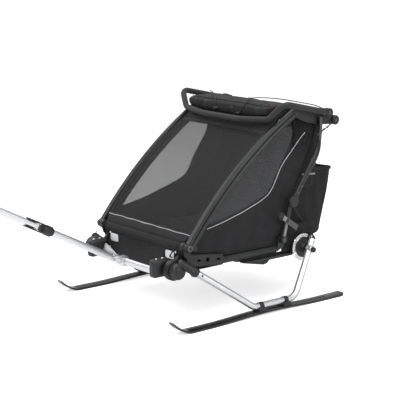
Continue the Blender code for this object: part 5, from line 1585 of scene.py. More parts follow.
half = front["flapHalf"]
frontTrim.append(flap("frontFlap", [(-half, 0.0), (half, 0.0), (half, 0.037), (-half, 0.037)], 0.009, flapLay,
                      "fabric"))
hem = [flapLay(x / 40 * 0.311, 0.0345) + Vector((0, -0.0008, 0)) for x in across]
frontTrim.append(sweep("frontFlapHem", hem, ovalSection(0.0018, 0.0050, 6), "webbing", upHint=(0, -1, 0)))
topJoin = uprightCentre(0.799, 0.0122)
hem = [at(topJoin.x, topJoin.y + 0.0042 * (1 - (x / 40) ** 2), x / 40 * 0.3292) for x in across]
frontTrim.append(sweep("frontTopHem", hem, ovalSection(0.0150, 0.0050, 6), "webbing", upHint=(0, -0.66, 0.75)))
mount(cover, "front_cover")
mountTrim(frontTrim, "upper_frame")

# lower front panel with its pressed folds

frontPanel = {"rim": [(-0.311, 0.3515), (-0.311, 0.332), (-0.283, 0.323), (-0.279, 0.318), (-0.279, 0.275),
                      (-0.274, 0.268),
                      (-0.214, 0.219), (-0.205, 0.217)],
              "y": -0.7463, "foot": 0.217, "thickness": 0.0014, "eyelet": (0.268, 0.329), "fitting": (-0.243, 0.258),
              "cords": ((0.0034, ((0.3020, -0.7600, 0.3820), (0.2948, -0.7640, 0.3713), (0.2750, -0.7690, 0.3410),
                                  (0.2558, -0.7720, 0.3119), (0.2540, -0.7600, 0.3030))),
                        (0.0020, ((-0.313, -0.7590, 0.362), (-0.330, -0.7700, 0.345), (-0.350, -0.7730, 0.328),
                                  (-0.364, -0.7750, 0.312))))}
panelOutline = frontPanel["rim"] + [(-x, z) for x, z in reversed(frontPanel["rim"])]


def panelLay(x, z, ahead=0.0):
    # bowed a little at the middle, flat behind the reflectors
    flatEnd = clamp((0.300 - abs(x)) / 0.12)
    out = 0.0065 * flatEnd * math.sin(math.pi * clamp((z - frontPanel["foot"]) / 0.135))
    if abs(x) > 0.185 and 0.285 < z < 0.337:
        out = min(out, 0.0002)
    crease = 0.0016 * math.exp(-((z - 0.3350 - 0.010 * math.sin(x * 4)) / 0.004) ** 2)
    crease += 0.0012 * math.exp(-((z - 0.262 + 0.02 * x) / 0.006) ** 2)
    out += 0.0010 * foldNoise((x, z, 0), 16, 5.2) * flatEnd
    return at(frontPanel["y"] - max(out - crease * flatEnd, -0.0002) - ahead, z, x)


panel = clothPatch("front_panel_shown", panelOutline, [], 0.008, panelLay, ["fabric"], frontPanel["thickness"])
panelTrim = [sweep("panelBinding", [panelLay(*p, 0.0006) for p in evenOutline(panelOutline, 0.012)],
                   ovalSection(0.0022, 0.0060, 6),
                   "webbing", upHint=(0, -1, 0), closed=True)]
inner = [(x * 0.972, frontPanel["foot"] + (z - frontPanel["foot"]) * 0.93 + 0.005) for x, z in panelOutline]
loop = [panelLay(*p, 0.0010) for p in evenOutline(inner, 0.010)]
panelTrim.append(seams("panelSeam", [loop + [loop[0]]]))
eyeX, eyeZ = frontPanel["eyelet"]
for s in (-1, 1):   # small eyelets where the cover's elastic cords hook on
    panelTrim.append(turned("panelEyelet", [(0.0, 0.0030), (0.0, 0.0062), (0.0012, 0.0066), (0.0018, 0.0055),
                                            (0.0018, 0.0030)],
                            panelLay(s * eyeX, eyeZ, 0.0012), (0, -1, 0), "disc", 24))
for radius, points in frontPanel["cords"]:   # elastic cords at the corners
    panelTrim.append(sweep("cornerCord", smoothLine([at(y, z, x) for x, y, z in points]), circle(radius, 10),
                           "webbing"))
spot = panelLay(*frontPanel["fitting"])
panelTrim.append(block("panelFitting", spot + Vector((-0.006, -0.0050, -0.010)),
                       spot + Vector((0.006, 0.0004, 0.010)), edge=0.0022, segments=3))
mount(panel, "front_panel")
mountTrim(panelTrim, "chassis")

# side panels: net window, pale piping, black corner tab and gathered cloth at the upper rear

sidePanel = {
    "x": 0.3282, "thickness": 0.0012, "anchor": (0, 0, 0.335), "keep": 0.36, "backLean": 0.243 / 0.502,
    "foot": [(-0.6865, 0.330), (-0.502, 0.3025), (-0.476, 0.2875), (-0.476, 0.2905), (-0.190, 0.2905)],
    "back": [(-0.165, 0.336), (-0.126, 0.350), (-0.072, 0.480), (0.008, 0.640), (0.082, 0.790), (0.112, 0.868)],
    "window": [(-0.0637, 0.8790), (-0.0496, 0.8575), (-0.0491, 0.8325), (-0.0587, 0.8030), (-0.0684, 0.7740),
               (-0.0883, 0.7455),
               (-0.1114, 0.7127), (-0.1378, 0.6753), (-0.1673, 0.6284), (-0.1802, 0.5996), (-0.198, 0.574),
               (-0.217, 0.554),
               (-0.244, 0.5385), (-0.355, 0.5025), (-0.502, 0.4625), (-0.612, 0.4415)],
    "piping": [(0.0224, 0.8390), (-0.0116, 0.8104), (-0.0453, 0.7758), (-0.0696, 0.7395), (-0.1019, 0.7062),
               (-0.1350, 0.6670),
               (-0.1612, 0.6171), (-0.186, 0.575), (-0.210, 0.550), (-0.241, 0.533), (-0.276, 0.518), (-0.351, 0.493),
               (-0.425, 0.471),
               (-0.511, 0.449), (-0.603, 0.431)],
    "tab": [(-0.700, 0.398), (-0.640, 0.452), (-0.612, 0.436), (-0.640, 0.395), (-0.690, 0.352), (-0.705, 0.372)],
    # dark cloth behind the panel's rear edge: partly real cloth, partly a dark sheet painted in for the shaded
    # interior there
    "gussetAndShade": [(0.100, 0.888), (0.136, 0.884), (0.126, 0.760), (0.112, 0.640), (0.090, 0.560), (-0.040, 0.556),
               (0.004, 0.640), (0.074, 0.790)],
    "guard": [(-0.215, 0.372), (0.120, 0.372), (0.098, 0.296), (0.044, 0.290), (0.026, 0.296), (0.010, 0.3065),
              (-0.008, 0.3065),
              (-0.020, 0.297), (-0.0235, 0.280), (-0.0235, 0.250), (-0.040, 0.2365), (-0.086, 0.232), (-0.113, 0.238),
              (-0.1135, 0.2875),
              (-0.215, 0.2875)],
    "tuck": [(-0.560, 0.322), (-0.440, 0.312), (-0.440, 0.2868), (-0.512, 0.2868), (-0.560, 0.300)],
    "skirt": [(-0.430, 0.2430), (-0.118, 0.2440), (-0.090, 0.2500), (-0.088, 0.2330), (-0.150, 0.2265),
              (-0.245, 0.2240),
              (-0.330, 0.2250), (-0.400, 0.2340), (-0.430, 0.2400)]}
frill = {"head": [(-0.066, 0.928, 0), (-0.020, 0.916, 0), (0.040, 0.903, 0), (0.120, 0.888, 0)],
         "foot": [(-0.050, 0.846, 0), (-0.050, 0.800, 0), (-0.026, 0.768, 0), (0.060, 0.790, 0)], "rows": 18,
         "pleats": 11}
sideFront = [tuple(uprightCentre(t, 0.019)) for t in [0.03 + 0.95 * i / 24 for i in range(25)]]
sideOutline = sideFront[::-1] + sidePanel["foot"] + sidePanel["back"]
sideWindow = sidePanel["window"] + [tuple(uprightCentre(0.125 + 0.775 * i / 12, 0.052)) for i in range(13)]


def sideLay(s):
    def lay(y, z, lift=0.0):
        rimFade = min(1.0, edgeDistance((y, z), sideOutline) / 0.06)
        pull = 0.0030 * foldNoise((y * 1.3, z * 0.6, 0), 9.0, 8.0 if s > 0 else 4.0)
        # creases towards the strut's foot
        pull += (0.0022 * math.sin((y + z * 0.45) * 95)
                 * math.exp(-((y + 0.10) / 0.10) ** 2 - ((z - 0.42) / 0.12) ** 2))
        pull -= 0.0016
        if inside((y, z), sideWindow):
            pull *= 0.35
        backLine = -0.158 + (z - 0.360) * sidePanel["backLean"] - 0.03
        deepest = -0.0012 if z > 0.35 and y > backLine else -0.009
        return at(y, z, s * (sidePanel["x"] + lift) + s * max(deepest, pull * rimFade))
    return lay


def rippled(s, x, depth, alongY, alongZ=0.0):
    # a flap near the side plane with slow ripples
    return lambda y, z: at(y, z, s * (x + depth * math.sin(y * alongY + z * alongZ)))


def sideFrill(side, s):
    # gathered cloth: a strip with pleats that run down from the corner
    bm = bmesh.new()
    uv = bm.loops.layers.uv.new("map")
    head, foot = smoothLine(frill["head"], 26), smoothLine(frill["foot"], 26)
    grid = []
    for q in spread(0.0, 1.0, frill["rows"]):
        row = []
        for c, (a, b) in enumerate(zip(head, foot)):
            p = a.lerp(b, q)
            w = c / (len(head) - 1)
            ragged = 0.012 * math.sin(w * 39 + 1.3) * q * q + 0.008 * math.sin(w * 71) * q * q
            pleat = 0.0032 * math.sin(w * 2 * math.pi * frill["pleats"] + 1.5 * q) * (1 - 0.45 * q)
            pleat += 0.0012 * math.sin(w * 2 * math.pi * 23 + 2.0)
            row.append(bm.verts.new(at(p.x, p.y + ragged, s * (sidePanel["x"] + 0.0068 + pleat * 0.9 - 0.0015 * q))))
        grid.append(row)
    sheetFaces(bm, uv, grid, lambda r, c: (c * 0.003, r * 0.007))
    return thicken(addPiece("sideFrill_" + side, bm, "bagCloth", 60), 0.0008)


def sideSheet(side, s):
    lay = sideLay(s)
    x = sidePanel["x"]
    panel = clothPatch("side_panel_shown_" + side, sideOutline, [sideWindow], 0.011, lay, ["fabric", "sideNet"],
                       sidePanel["thickness"])
    flatPiping = [(y, z, 0) for y, z in sidePanel["piping"]]
    line = [lay(p.x, p.y, 0.0012 + 0.0110 * clamp((p.y - 0.735) / 0.040)) for p in smoothLine(flatPiping, 6)]
    rim = [lay(y, z, 0.0010) for y, z in evenOutline(sideWindow, 0.010)]
    trim = [sweep("sidePiping_" + side, line, circle(0.0017, 10), "piping"),
            sweep("sideWindowBinding_" + side, rim, ovalSection(0.0018, 0.0085, 6), "webbing", upHint=(0, 0.5, 0.5),
                  closed=True)]
    inner = [lay(p.x + 0.010, p.y - 0.012, 0.0008) for p in smoothLine(flatPiping, 4)]
    below = [lay(-0.670 + 0.19 * i / 20, 0.338 - 0.030 * i / 20, 0.0008) for i in range(21)]
    backSeam = [lay(p.x - 0.010, p.y, 0.0008) for p in smoothLine([(y, z, 0) for y, z in sidePanel["back"][1:]], 6)]
    trim.append(seams("sideSeams_" + side, [inner, below, backSeam]))
    edge = [lay(y, z) for y, z in evenOutline(sideOutline, 0.014)]
    trim.append(sweep("sideBinding_" + side, edge, ovalSection(0.0030, 0.0065, 6), "webbing", upHint=(s, 0, 0),
                      closed=True))
    trim.append(flap("sideTab_" + side, sidePanel["tab"], 0.008, rippled(s, x + 0.0022, 0.0, 0.0), "webbing"))
    trim.append(sideFrill(side, s))
    # dark cloth behind the panel's rear edge: partly real cloth, partly a dark sheet standing for the shaded interior
    # seen there
    trim.append(flap("sideGussetAndShade_" + side, sidePanel["gussetAndShade"], 0.009, lambda y, z: at(
        y + 0.0030 * math.sin(z * 60), z, s * (x - 0.0026 + 0.0018 * math.sin(z * 70 + y * 55))), "bagCloth"))
    # these hang from the floor and never fold
    still = [flap("splashGuard_" + side, sidePanel["guard"], 0.009, rippled(s, 0.3230, 0.0016, 60, 40), "bagCloth",
                  0.0016),
             flap("panelTuck_" + side, sidePanel["tuck"], 0.009, rippled(s, 0.3225, 0.0008, 80), "fabric"),
             flap("floorSkirt_" + side, sidePanel["skirt"], 0.008, rippled(s, 0.3205, 0.0010, 70), "bagCloth")]
    mount(panel, "side_panel_" + side)
    mountTrim(trim + still, "chassis")
    for piece in [panel] + trim:
        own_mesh(piece)


for side, s in sides:
    sideSheet(side, s)
print("front and side covers done")

# roof cover and the rolled cover strapped on it

roof = {"half": 0.3297, "crown": 0.004, "thickness": 0.0030, "columns": 64, "edgeX": 0.3262, "wallX": 0.3338,
        "ridge": [tuple(uprightCentre(0.80, 0.012)), (-0.150, 0.928), (-0.060, 0.940), (0.040, 0.937), (0.120, 0.925),
                  (0.181, 0.905)],
        "wall": [(-0.206, 0.868), (-0.150, 0.918), (-0.060, 0.930), (0.030, 0.928), (0.030, 0.944), (-0.060, 0.962),
                 (-0.095, 0.966),
                 (-0.140, 0.951), (-0.222, 0.880)]}
ridge = []
for a, b in zip(roof["ridge"], roof["ridge"][1:]):
    ridge += [(a[0] + (b[0] - a[0]) * i / 9, a[1] + (b[1] - a[1]) * i / 9) for i in range(9)]
ridge.append(roof["ridge"][-1])
reached = [0.0]
for (ya, za), (yb, zb) in zip(ridge, ridge[1:]):
    reached.append(reached[-1] + math.hypot(yb - ya, zb - za))
bm = bmesh.new()
uv = bm.loops.layers.uv.new("map")
grid = []
for i, (y, z) in enumerate(ridge):
    row = []
    for j in range(roof["columns"] + 1):
        u = 2 * j / roof["columns"] - 1
        dip = -0.0024 * (1 - u ** 4) * abs(foldNoise((u * 0.33, y, 0), 9, 2.2)) if 2 < i < len(ridge) - 3 else 0.0
        row.append(bm.verts.new(at(y, z + roof["crown"] * (1 - u * u) + dip, u * roof["half"])))
    grid.append(row)
sheetFaces(bm, uv, grid, lambda r, c: ((2 * c / roof["columns"] - 1) * roof["half"], reached[r]))
cover = thicken(addPiece("roof_cover_shown", bm, "fabric", 60), roof["thickness"])


def roofPoint(x, y, lift=0.0):
    for (ya, za), (yb, zb) in zip(ridge, ridge[1:]):
        if ya <= y <= yb:
            z = za + (zb - za) * (y - ya) / (yb - ya)
            break
    else:
        z = ridge[0][1] if y < ridge[0][0] else ridge[-1][1]
    u = x / roof["half"]
    return at(y, z + roof["crown"] * (1 - u * u) + roof["thickness"] / 2 + lift, x)


roofTrim = []
for s in (-1, 1):
    line = [roofPoint(s * roof["edgeX"], -0.195 + 0.372 * i / 40, 0.0004) for i in range(41)]
    roofTrim.append(sweep("roofEdge", line, ovalSection(0.0060, 0.0022, 6), "webbing", upHint=(0, 0, 1)))
for s in (-1, 1):   # cloth turned up against the rails
    roofTrim.append(flap("roofSide", roof["wall"], 0.009, rippled(s, roof["wallX"], 0.0008, 90), "fabric"))
line = [roofPoint(x / 30 * 0.325, 0.172, 0.0006) for x in range(-30, 31)]
roofTrim.append(sweep("roofRearHem", line, ovalSection(0.0120, 0.0022, 6), "webbing", upHint=(0, 0, 1)))
roofTrim.append(seams("roofSeams", [[roofPoint(x / 40 * 0.318, y, 0.0006) for x in across] for y in (0.160, 0.030)]))
mount(cover, "roof_cover")
mountTrim(roofTrim, "upper_frame")

roll = {"front": -0.211, "back": 0.009, "low": 0.9432, "high": 0.9855, "half": 0.3115,
        "straps": (-0.175, 0.045, 0.225),
        "around": 88, "stations": 120, "tabAngle": 0.56 * math.pi, "tabX": 0.262, "seamAngle": 2.30,
        "ends": ((0.74, 0.0022), (0.70, -0.0030), (0.50, -0.0022), (0.46, -0.0050), (0.26, -0.0040), (0.10, -0.0045)),
        "ties": (((0.0384, -0.0665, 0.9835), (0.0806, -0.1243, 0.9860), (0.1255, -0.1839, 0.9860),
                  (0.1375, -0.2080, 0.9730),
                  (0.1290, -0.2130, 0.9560), (0.1110, -0.2140, 0.9420), (0.1010, -0.2100, 0.9330)),
                 ((-0.2833, -0.0800, 1.0030), (-0.2368, -0.1000, 0.9985), (-0.1939, -0.1250, 0.9870),
                  (-0.1300, -0.1720, 0.9850),
                  (-0.0950, -0.2030, 0.9775), (-0.0800, -0.2110, 0.9600), (-0.0777, -0.2070, 0.9403)))}
rollY, rollZ = (roll["front"] + roll["back"]) / 2, (roll["low"] + roll["high"]) / 2


def rollPoint(a, x, shrink=1.0):
    # a is the angle around the flattened roll
    c, q = math.cos(a), math.sin(a)
    tight = sum(math.exp(-((x - place) / 0.014) ** 2) for place in roll["straps"])
    wrinkle = 0.0020 * foldNoise((x * 0.6, c * 0.09, q * 0.05), 14,
                                 1.7) + 0.0006 * foldNoise((x * 1.4, c * 0.05, q * 0.02), 40, 6.1)
    groove = 0.0022 * math.exp(-((a - 2.72 - 0.05 * math.sin(x * 6)) / 0.055) ** 2)     # the free edge of the roll
    halfY = ((roll["back"] - roll["front"]) / 2 - 0.0035 * tight) * shrink
    halfZ = ((roll["high"] - roll["low"]) / 2 - 0.0030 * tight) * shrink
    y = rollY + (halfY - groove + wrinkle - 0.0015) * math.copysign(abs(c) ** 0.72, c)
    z = rollZ + (halfZ - groove + wrinkle - 0.0010) * math.copysign(abs(q) ** 0.82, q) - 0.0012 * tight
    if q < 0 and c < 0:   # the front of the roll sags onto the roof
        z -= (0.050 - 0.022 * clamp((abs(x) - 0.18) / 0.10)) * abs(q) ** 0.7 * abs(c) ** 0.5
    return at(y, max(z, roofPoint(x, min(0.175, y)).z + 0.0009), x)


bm = bmesh.new()
uv = bm.loops.layers.uv.new("map")
around = roll["around"]
places, rings = [], []
for t in spread(0.0, 1.0, roll["stations"]):
    x = -roll["half"] + 2 * roll["half"] * (t - 0.012 * math.sin(4 * math.pi * t) / 2)
    near = min(abs(x + roll["half"]), abs(roll["half"] - x))
    shrink = 1.0 - 0.14 * max(0.0, 1 - near / 0.016) ** 2
    places.append(x)
    rings.append([bm.verts.new(rollPoint(2 * math.pi * j / around, x, shrink)) for j in range(around)])
sheetFaces(bm, uv, rings, lambda r, c: (c * 0.0058, places[r]), True)
for sign, x, ring in ((-1, places[0], rings[0]), (1, places[-1], rings[-1])):   # rolled layers show at each end
    last = ring
    for shrink, inwards in roll["ends"]:
        centre = at(rollY, rollZ - 0.003, x + sign * inwards)
        new = [bm.verts.new(centre + Vector((0, (v.co.y - centre.y) * shrink,
                                             (v.co.z - centre.z) * shrink))) for v in ring]
        for j in range(around):
            k = (j + 1) % around
            bm.faces.new((last[j], last[k], new[k], new[j]))
        last = new
    bm.faces.new(last)
rolled = closedPiece("rolled_cover_shown", bm, "fabric", 50)
rollTrim = []
for place in roll["straps"]:
    middle = at(rollY, rollZ, place)
    loop = [rollPoint(2 * math.pi * j / 72, place) for j in range(72)]
    loop = [p + (p - middle).normalized() * 0.0012 for p in loop
            if p.z > roofPoint(place, min(0.17, p.y - axleY)).z + 0.0015]
    loop.sort(key=lambda p: math.atan2(p.z - middle.z, p.y - middle.y) % (2 * math.pi))
    rollTrim.append(sweep("rollStrap", loop, bandSection(0.0095, -0.0006, 0.0006), "webbing", upHint=(0, 1, 0.3)))
seam = [rollPoint(roll["seamAngle"], x) + Vector((0, -0.0008,
                                                  0.0010)) for x in [-0.30 + 0.60 * i / 60 for i in range(61)]]
rollTrim.append(seams("rollSeam", [seam]))
rollTrim.append(sweep("rollFold", [p + Vector((0, 0, -0.0006)) for p in seam], ovalSection(0.0016, 0.0070, 6),
                      "bagCloth", upHint=(0, -0.4, 0.9)))
# a side-release buckle on the middle strap's front, and a small woven tab near the right end
spot = rollPoint(math.pi * 0.985, roll["straps"][1])
tabAt = rollPoint(roll["tabAngle"], roll["tabX"])
for name, centre, low, high, finish, edge, segments in (
        ("rollBuckle", spot, (-0.0135, -0.0052, -0.016), (0.0135, 0.0004, 0.014), "moulded", 0.0028, 3),
        ("rollBuckleBar", spot, (-0.0100, -0.0068, -0.006), (0.0100, -0.0046, -0.001), "moulded", 0.0009, 2),
        ("rollTab", tabAt, (-0.019, -0.012, -0.0030), (0.019, 0.012, 0.0030), "redTab", 0.0012, 2)):
    rollTrim.append(block(name, centre + Vector(low), centre + Vector(high), finish, edge, segments))
for line in roll["ties"]:
    rollTrim.append(sweep("rollTie", smoothLine([at(y, z, x) for x, y, z in line]), circle(0.0023, 10), "webbing"))
    x, y, z = line[-1]
    rollTrim.append(turned("tieToggle", barrel(0.0120, 0.0080, 0.0055, 0.0078), at(y, z, x), (0.8, 0.5, 0.3),
                           sides=20))
mount(rolled, "rolled_cover")
mountTrim(rollTrim, "upper_frame")
print("roof and rolled cover done")

# luggage bag behind the backrest

bag = {"half": 0.288, "wall": 0.0022, "rows": 46, "columns": 120, "corner": 0.032,
       "levels": [(0.272, 0.158, 0.020, 0.060), (0.300, 0.190, 0.0, 0.020), (0.420, 0.214, 0.0, 0.0),
                  (0.530, 0.240, 0.0, 0.0),
                  (0.650, 0.256, 0.0, 0.0)],
       "strap": ((0.334, 0.013, 0.625), (0.337, 0.060, 0.623), (0.334, 0.104, 0.619)),
       "cord": ((0.298, -0.006, 0.452), (0.299, 0.030, 0.406), (0.2945, 0.070, 0.364))}
backRest = {"foot": (-0.158, 0.360), "head": (0.085, 0.862), "thickness": 0.014, "half": 0.3264}


def backRear(z):
    run = (backRest["head"][0] - backRest["foot"][0]) / (backRest["head"][1] - backRest["foot"][1])
    return backRest["foot"][0] + run * (z - backRest["foot"][1]) + backRest["thickness"] * math.sqrt(1 + run * run)


def bagLevel(z):
    # height, back, inset and stand-off at that height
    levels = bag["levels"]
    for a, b in zip(levels, levels[1:]):
        if z <= b[0] or b is levels[-1]:
            t = clamp((z - a[0]) / (b[0] - a[0]))
            ease = t * t * (3 - 2 * t) if b is levels[1] else t
            return [p + (q - p) * ease for p, q in zip(a, b)]


def bagRing(r):
    # the bag's outline at row r: its share of the height, its height, the ring, front, back and half width
    t = r / bag["rows"]
    zLow, zHigh = bag["levels"][0][0], bag["levels"][-1][0]
    z = zLow + (zHigh - zLow) * t ** 0.92
    _, yBack, inset, stand = bagLevel(z)
    yFront = backRear(z) + 0.0006 + stand
    half = bag["half"] - inset
    flat = roundedLine([(0, yFront, 0), (half, yFront, 0), (half, yBack, 0), (-half, yBack, 0), (-half, yFront, 0),
                        (0, yFront, 0)],
                       [bag["corner"]] * 4, 10)
    lengths = [0.0]
    for a, b in zip(flat, flat[1:]):
        lengths.append(lengths[-1] + (b - a).length)
    ring = []
    i = 0
    for c in range(bag["columns"]):
        want = lengths[-1] * c / bag["columns"]
        while lengths[i + 1] < want:
            i += 1
        ring.append(flat[i].lerp(flat[i + 1], (want - lengths[i]) / (lengths[i + 1] - lengths[i])))
    return t, z, ring, yFront, yBack, half


def bagPoint(p, t, z, yFront, yBack, half):
    # the ring's point with its sag, folds and drooping lip
    x, y = p.x, p.y
    atBack = max(0.0, (y - yFront) / (yBack - yFront)) ** 2
    hang = math.sin(math.pi * min(1.0, t * 1.05))
    sag = (0.010 + 0.010 * hang) * atBack * (1 - (x / half) ** 8) + 0.013 * atBack * (0.35 + 0.65 * t)
    folds = 0.0060 * math.sin(x * 46 + 1.1 * math.sin(x * 9) + 0.8 * t) * (0.25 + 0.75 * t) * atBack
    folds += 0.0030 * foldNoise((x, z * 0.5, 0.3), 13, 2.9) * atBack
    sideways = 0.0
    if abs(x) > half - 0.004:
        sideways = (-0.0045 * math.sin(math.pi * t) + 0.0028 * math.sin(y * 85 + t * 2.0) * t) * math.copysign(1, x)
    lipDrop = -(0.011 + 0.014 * atBack) * t ** 3 - 0.006 * t ** 8 * atBack * (1 - (x / half) ** 2)
    if y < yFront + 0.004:
        sag = folds = 0.0
    return at(y + sag + folds, z + lipDrop, x + sideways)


bm = bmesh.new()
uv = bm.loops.layers.uv.new("map")
grid = []
for r in range(bag["rows"] + 1):
    t, z, ring, *spans = bagRing(r)
    grid.append([bm.verts.new(bagPoint(p, t, z, *spans)) for p in ring])
sheetFaces(bm, uv, grid, lambda r, c: (c * 0.0125, r * 0.0078), True)
centre = sum((v.co for v in grid[0]), Vector()) / bag["columns"]
last = grid[0]
for shrink in (0.8, 0.55, 0.28):
    new = [bm.verts.new(centre + (v.co - centre) * shrink + Vector((0, 0, -0.0015 * (1 - shrink)))) for v in grid[0]]
    for c in range(bag["columns"]):
        k = (c + 1) % bag["columns"]
        four = (last[k], last[c], new[c], new[k])
        faceWithMap(bm, uv, four, [v.co.xy for v in four])
    last = new
bm.faces.new(last)
rimLine, highSeam, lowSeam = ([v.co.copy() for v in grid[r]] for r in (-1, -4, 5))
shell = thicken(closedPiece("cargo_bag_shown", bm, "bagCloth", 60), bag["wall"], -1.0)
bagTrim = [sweep("bagRim", rimLine, ovalSection(0.0120, 0.0180, 8), "bagCloth", upHint=(0, 0, 1), closed=True),
           seams("bagSeams", [highSeam + highSeam[:1], lowSeam + lowSeam[:1]], 0.008, 0.0055, 0.0007)]
for s in (-1, 1):
    line = []
    for r in range(3, bag["rows"] + 1):
        t, z, ring, yFront, yBack, half = bagRing(r)
        p = min(ring, key=lambda q: (q - Vector((s * (half - 0.009), yBack - 0.009, 0))).length)
        line.append(at(p.y + 0.0010 + 0.0125 * (0.35 + 0.65 * t), z - 0.0245 * t ** 3,
                       p.x + math.copysign(0.0010, p.x)))
    bagTrim.append(sweep("bagCorner", line, ovalSection(0.0030, 0.0060, 6), "webbing", upHint=(1, 1, 0)))
for s in (-1, 1):   # a pale strap and a thin cord from the knuckle to the bag's side
    strapLine, cordLine = (smoothLine([at(y, z, s * x) for x, y, z in bag[key]]) for key in ("strap", "cord"))
    bagTrim.append(sweep("bagStrap", strapLine, ovalSection(0.0014, 0.0080, 6), "greyStrap", upHint=(0, 0, 1)))
    bagTrim.append(sweep("bagCord", cordLine, circle(0.0013, 10), "leverGrey"))
mount(shell, "cargo_bag")
mountTrim(bagTrim, "chassis")
for piece in [shell] + bagTrim:
    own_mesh(piece)
print("bag done")

# seat cushion and backrest, swollen by a short cloth simulation


def swollen(piece, voxel, pressure, cap):
    changed(piece, "REMESH", mode="VOXEL", voxel_size=voxel)
    before = [v.co.copy() for v in piece.data.vertices]
    cloth = piece.modifiers.new("cloth", "CLOTH")
    settings = cloth.settings
    settings.quality = 5
    settings.mass = 0.25
    settings.use_pressure = True
    settings.uniform_pressure_force = pressure
    settings.effector_weights.gravity = 0
    settings.tension_stiffness = settings.compression_stiffness = 12
    settings.bending_stiffness = 0.4
    cloth.collision_settings.use_collision = False
    cloth.collision_settings.use_self_collision = False
    for number in range(1, 17):
        scene.frame_set(number)
    applied(piece)
    scene.frame_set(1)
    for v, old in zip(piece.data.vertices, before):
        move = v.co - old
        if move.length > cap:
            v.co = old + move.normalized() * cap
    return piece


def smoothed(piece):
    changed(piece, "SUBSURF", levels=1, render_levels=1)
    piece.data.shade_smooth()


def padGrid(name, point, columns, rows, finish):
    # a closed pad: point(u, w, top) gives the upper and lower face for u and w from -1 to 1
    bm = bmesh.new()
    across, along = spread(-1.0, 1.0, columns), spread(-1.0, 1.0, rows)
    upper, lower = [[[bm.verts.new(point(u, w, top)) for u in across] for w in along] for top in (True, False)]
    for grid, turn in ((upper, 1), (lower, -1)):
        for j in range(rows):
            for i in range(columns):
                bm.faces.new((grid[j][i], grid[j][i + 1], grid[j + 1][i + 1], grid[j + 1][i])[::turn])
    rim = [(0, i) for i in range(columns)] + [(j, columns) for j in range(rows)]
    rim += [(rows, columns - i) for i in range(columns)] + [(rows - j, 0) for j in range(rows)]
    for (ja, ia), (jb, ib) in zip(rim, rim[1:] + rim[:1]):
        bm.faces.new((upper[jb][ib], upper[ja][ia], lower[ja][ia], lower[jb][ib]))
    return closedPiece(name, bm, finish, 60)


cushion = {"half": 0.283, "front": -0.460, "back": -0.176, "bottom": 0.2895, "edge": 0.020, "crown": 0.046,
           "voxel": 0.0055,
           "pressure": 3.0, "cap": 0.006, "channels": (-0.375, -0.270), "channelHalf": 0.265,
           "piping": (0.2745, -0.318, 0.1345), "pipingHeight": 0.0165, "pipingPoints": 140}


def cushionPoint(u, w, top):
    x = u * cushion["half"] * (1 - 0.018 * (1 - w * w) - 0.006)
    middle, reach = (cushion["front"] + cushion["back"]) / 2, (cushion["back"] - cushion["front"]) / 2
    y = middle + w * reach * (1 - 0.012 * (1 - u * u) - 0.010)
    fade = min(1.0, (1 - abs(u)) * 6.5) ** 0.5 * min(1.0, (1 - abs(w)) * 3.4) ** 0.5
    if top:
        return at(y, cushion["bottom"] + cushion["edge"] - 0.004 + cushion["crown"] * fade, x)
    return at(y, cushion["bottom"] + 0.005 * (1 - fade) + 0.0006, x)


seat = swollen(padGrid("seat_cushion_shown", cushionPoint, 64, 32, "lining"), cushion["voxel"], cushion["pressure"],
               cushion["cap"])
for v in seat.data.vertices:   # sewn channels: one between the seats, two across each seat
    x, y = v.co.x, v.co.y - axleY
    if v.co.z > cushion["bottom"] + 0.024:
        depth = 0.012 * math.exp(-(x / 0.012) ** 2)
        if abs(x) < cushion["channelHalf"]:
            depth += sum(0.0055 * math.exp(-((y - seamAt) / 0.007) ** 2) for seamAt in cushion["channels"])
        v.co.z -= depth
    v.co.z = max(v.co.z, cushion["bottom"] + 0.0004)
smoothed(seat)
bpy.context.view_layer.update()


def topOf(x, y):
    hit, place, *rest = seat.ray_cast(at(y, 0.8, x), (0, 0, -1))
    return (place if hit else at(y, cushion["bottom"] + 0.03, x)) + Vector((0, 0, 0.0006))


rimLine = []
halfX, middleY, halfY = cushion["piping"]
for i in range(cushion["pipingPoints"]):
    a = 2 * math.pi * i / cushion["pipingPoints"]
    c, q = math.cos(a), math.sin(a)
    x = halfX * math.copysign(abs(c) ** 0.16, c) * (1 - 0.016 * (1 - q * q))
    rimLine.append(at(middleY + halfY * math.copysign(abs(q) ** 0.22, q), cushion["bottom"] + cushion["pipingHeight"],
                      x))
rows = [[topOf(-0.255 + 0.51 * i / 60, y) for i in range(61)] for y in cushion["channels"]]
rows.append([topOf(0.0, -0.44 + 0.24 * i / 30) for i in range(31)])
seatTrim = [sweep("seatPiping", rimLine, circle(0.0026, 10), "webbing", closed=True),
            seams("seatSeams", rows, 0.007, 0.0048, 0.0007)]
mount(seat, "seat_cushion")
mountTrim(seatTrim, "chassis")

foot, head = Vector(backRest["foot"]), Vector(backRest["head"])
backUp = (head - foot).normalized()
backAway = Vector((-backUp.y, backUp.x))     # towards the children
backReach = (head - foot).length
backPad = {"thickness": 0.0130, "voxel": 0.0050, "pressure": 2.0, "cap": 0.0035,
           "seams": (0.115, 0.235, 0.355, 0.465)}


def onBack(x, up, away):
    p = foot + backUp * up + backAway * away
    return at(p.x, p.y, x)


def backPoint(u, w, top):
    x = u * (backRest["half"] - 0.004) * (1 - 0.010 * (1 - w * w))
    up = (w + 1) / 2 * (backReach - 0.008) + 0.004
    fade = min(1.0, (1 - abs(u)) * 14) ** 0.5 * min(1.0, (1 - abs(w)) * 9) ** 0.5
    return onBack(x, up, -0.0025 * (1 - fade) - 0.0018 if top else -backPad["thickness"] + 0.0030 * (1 - fade))


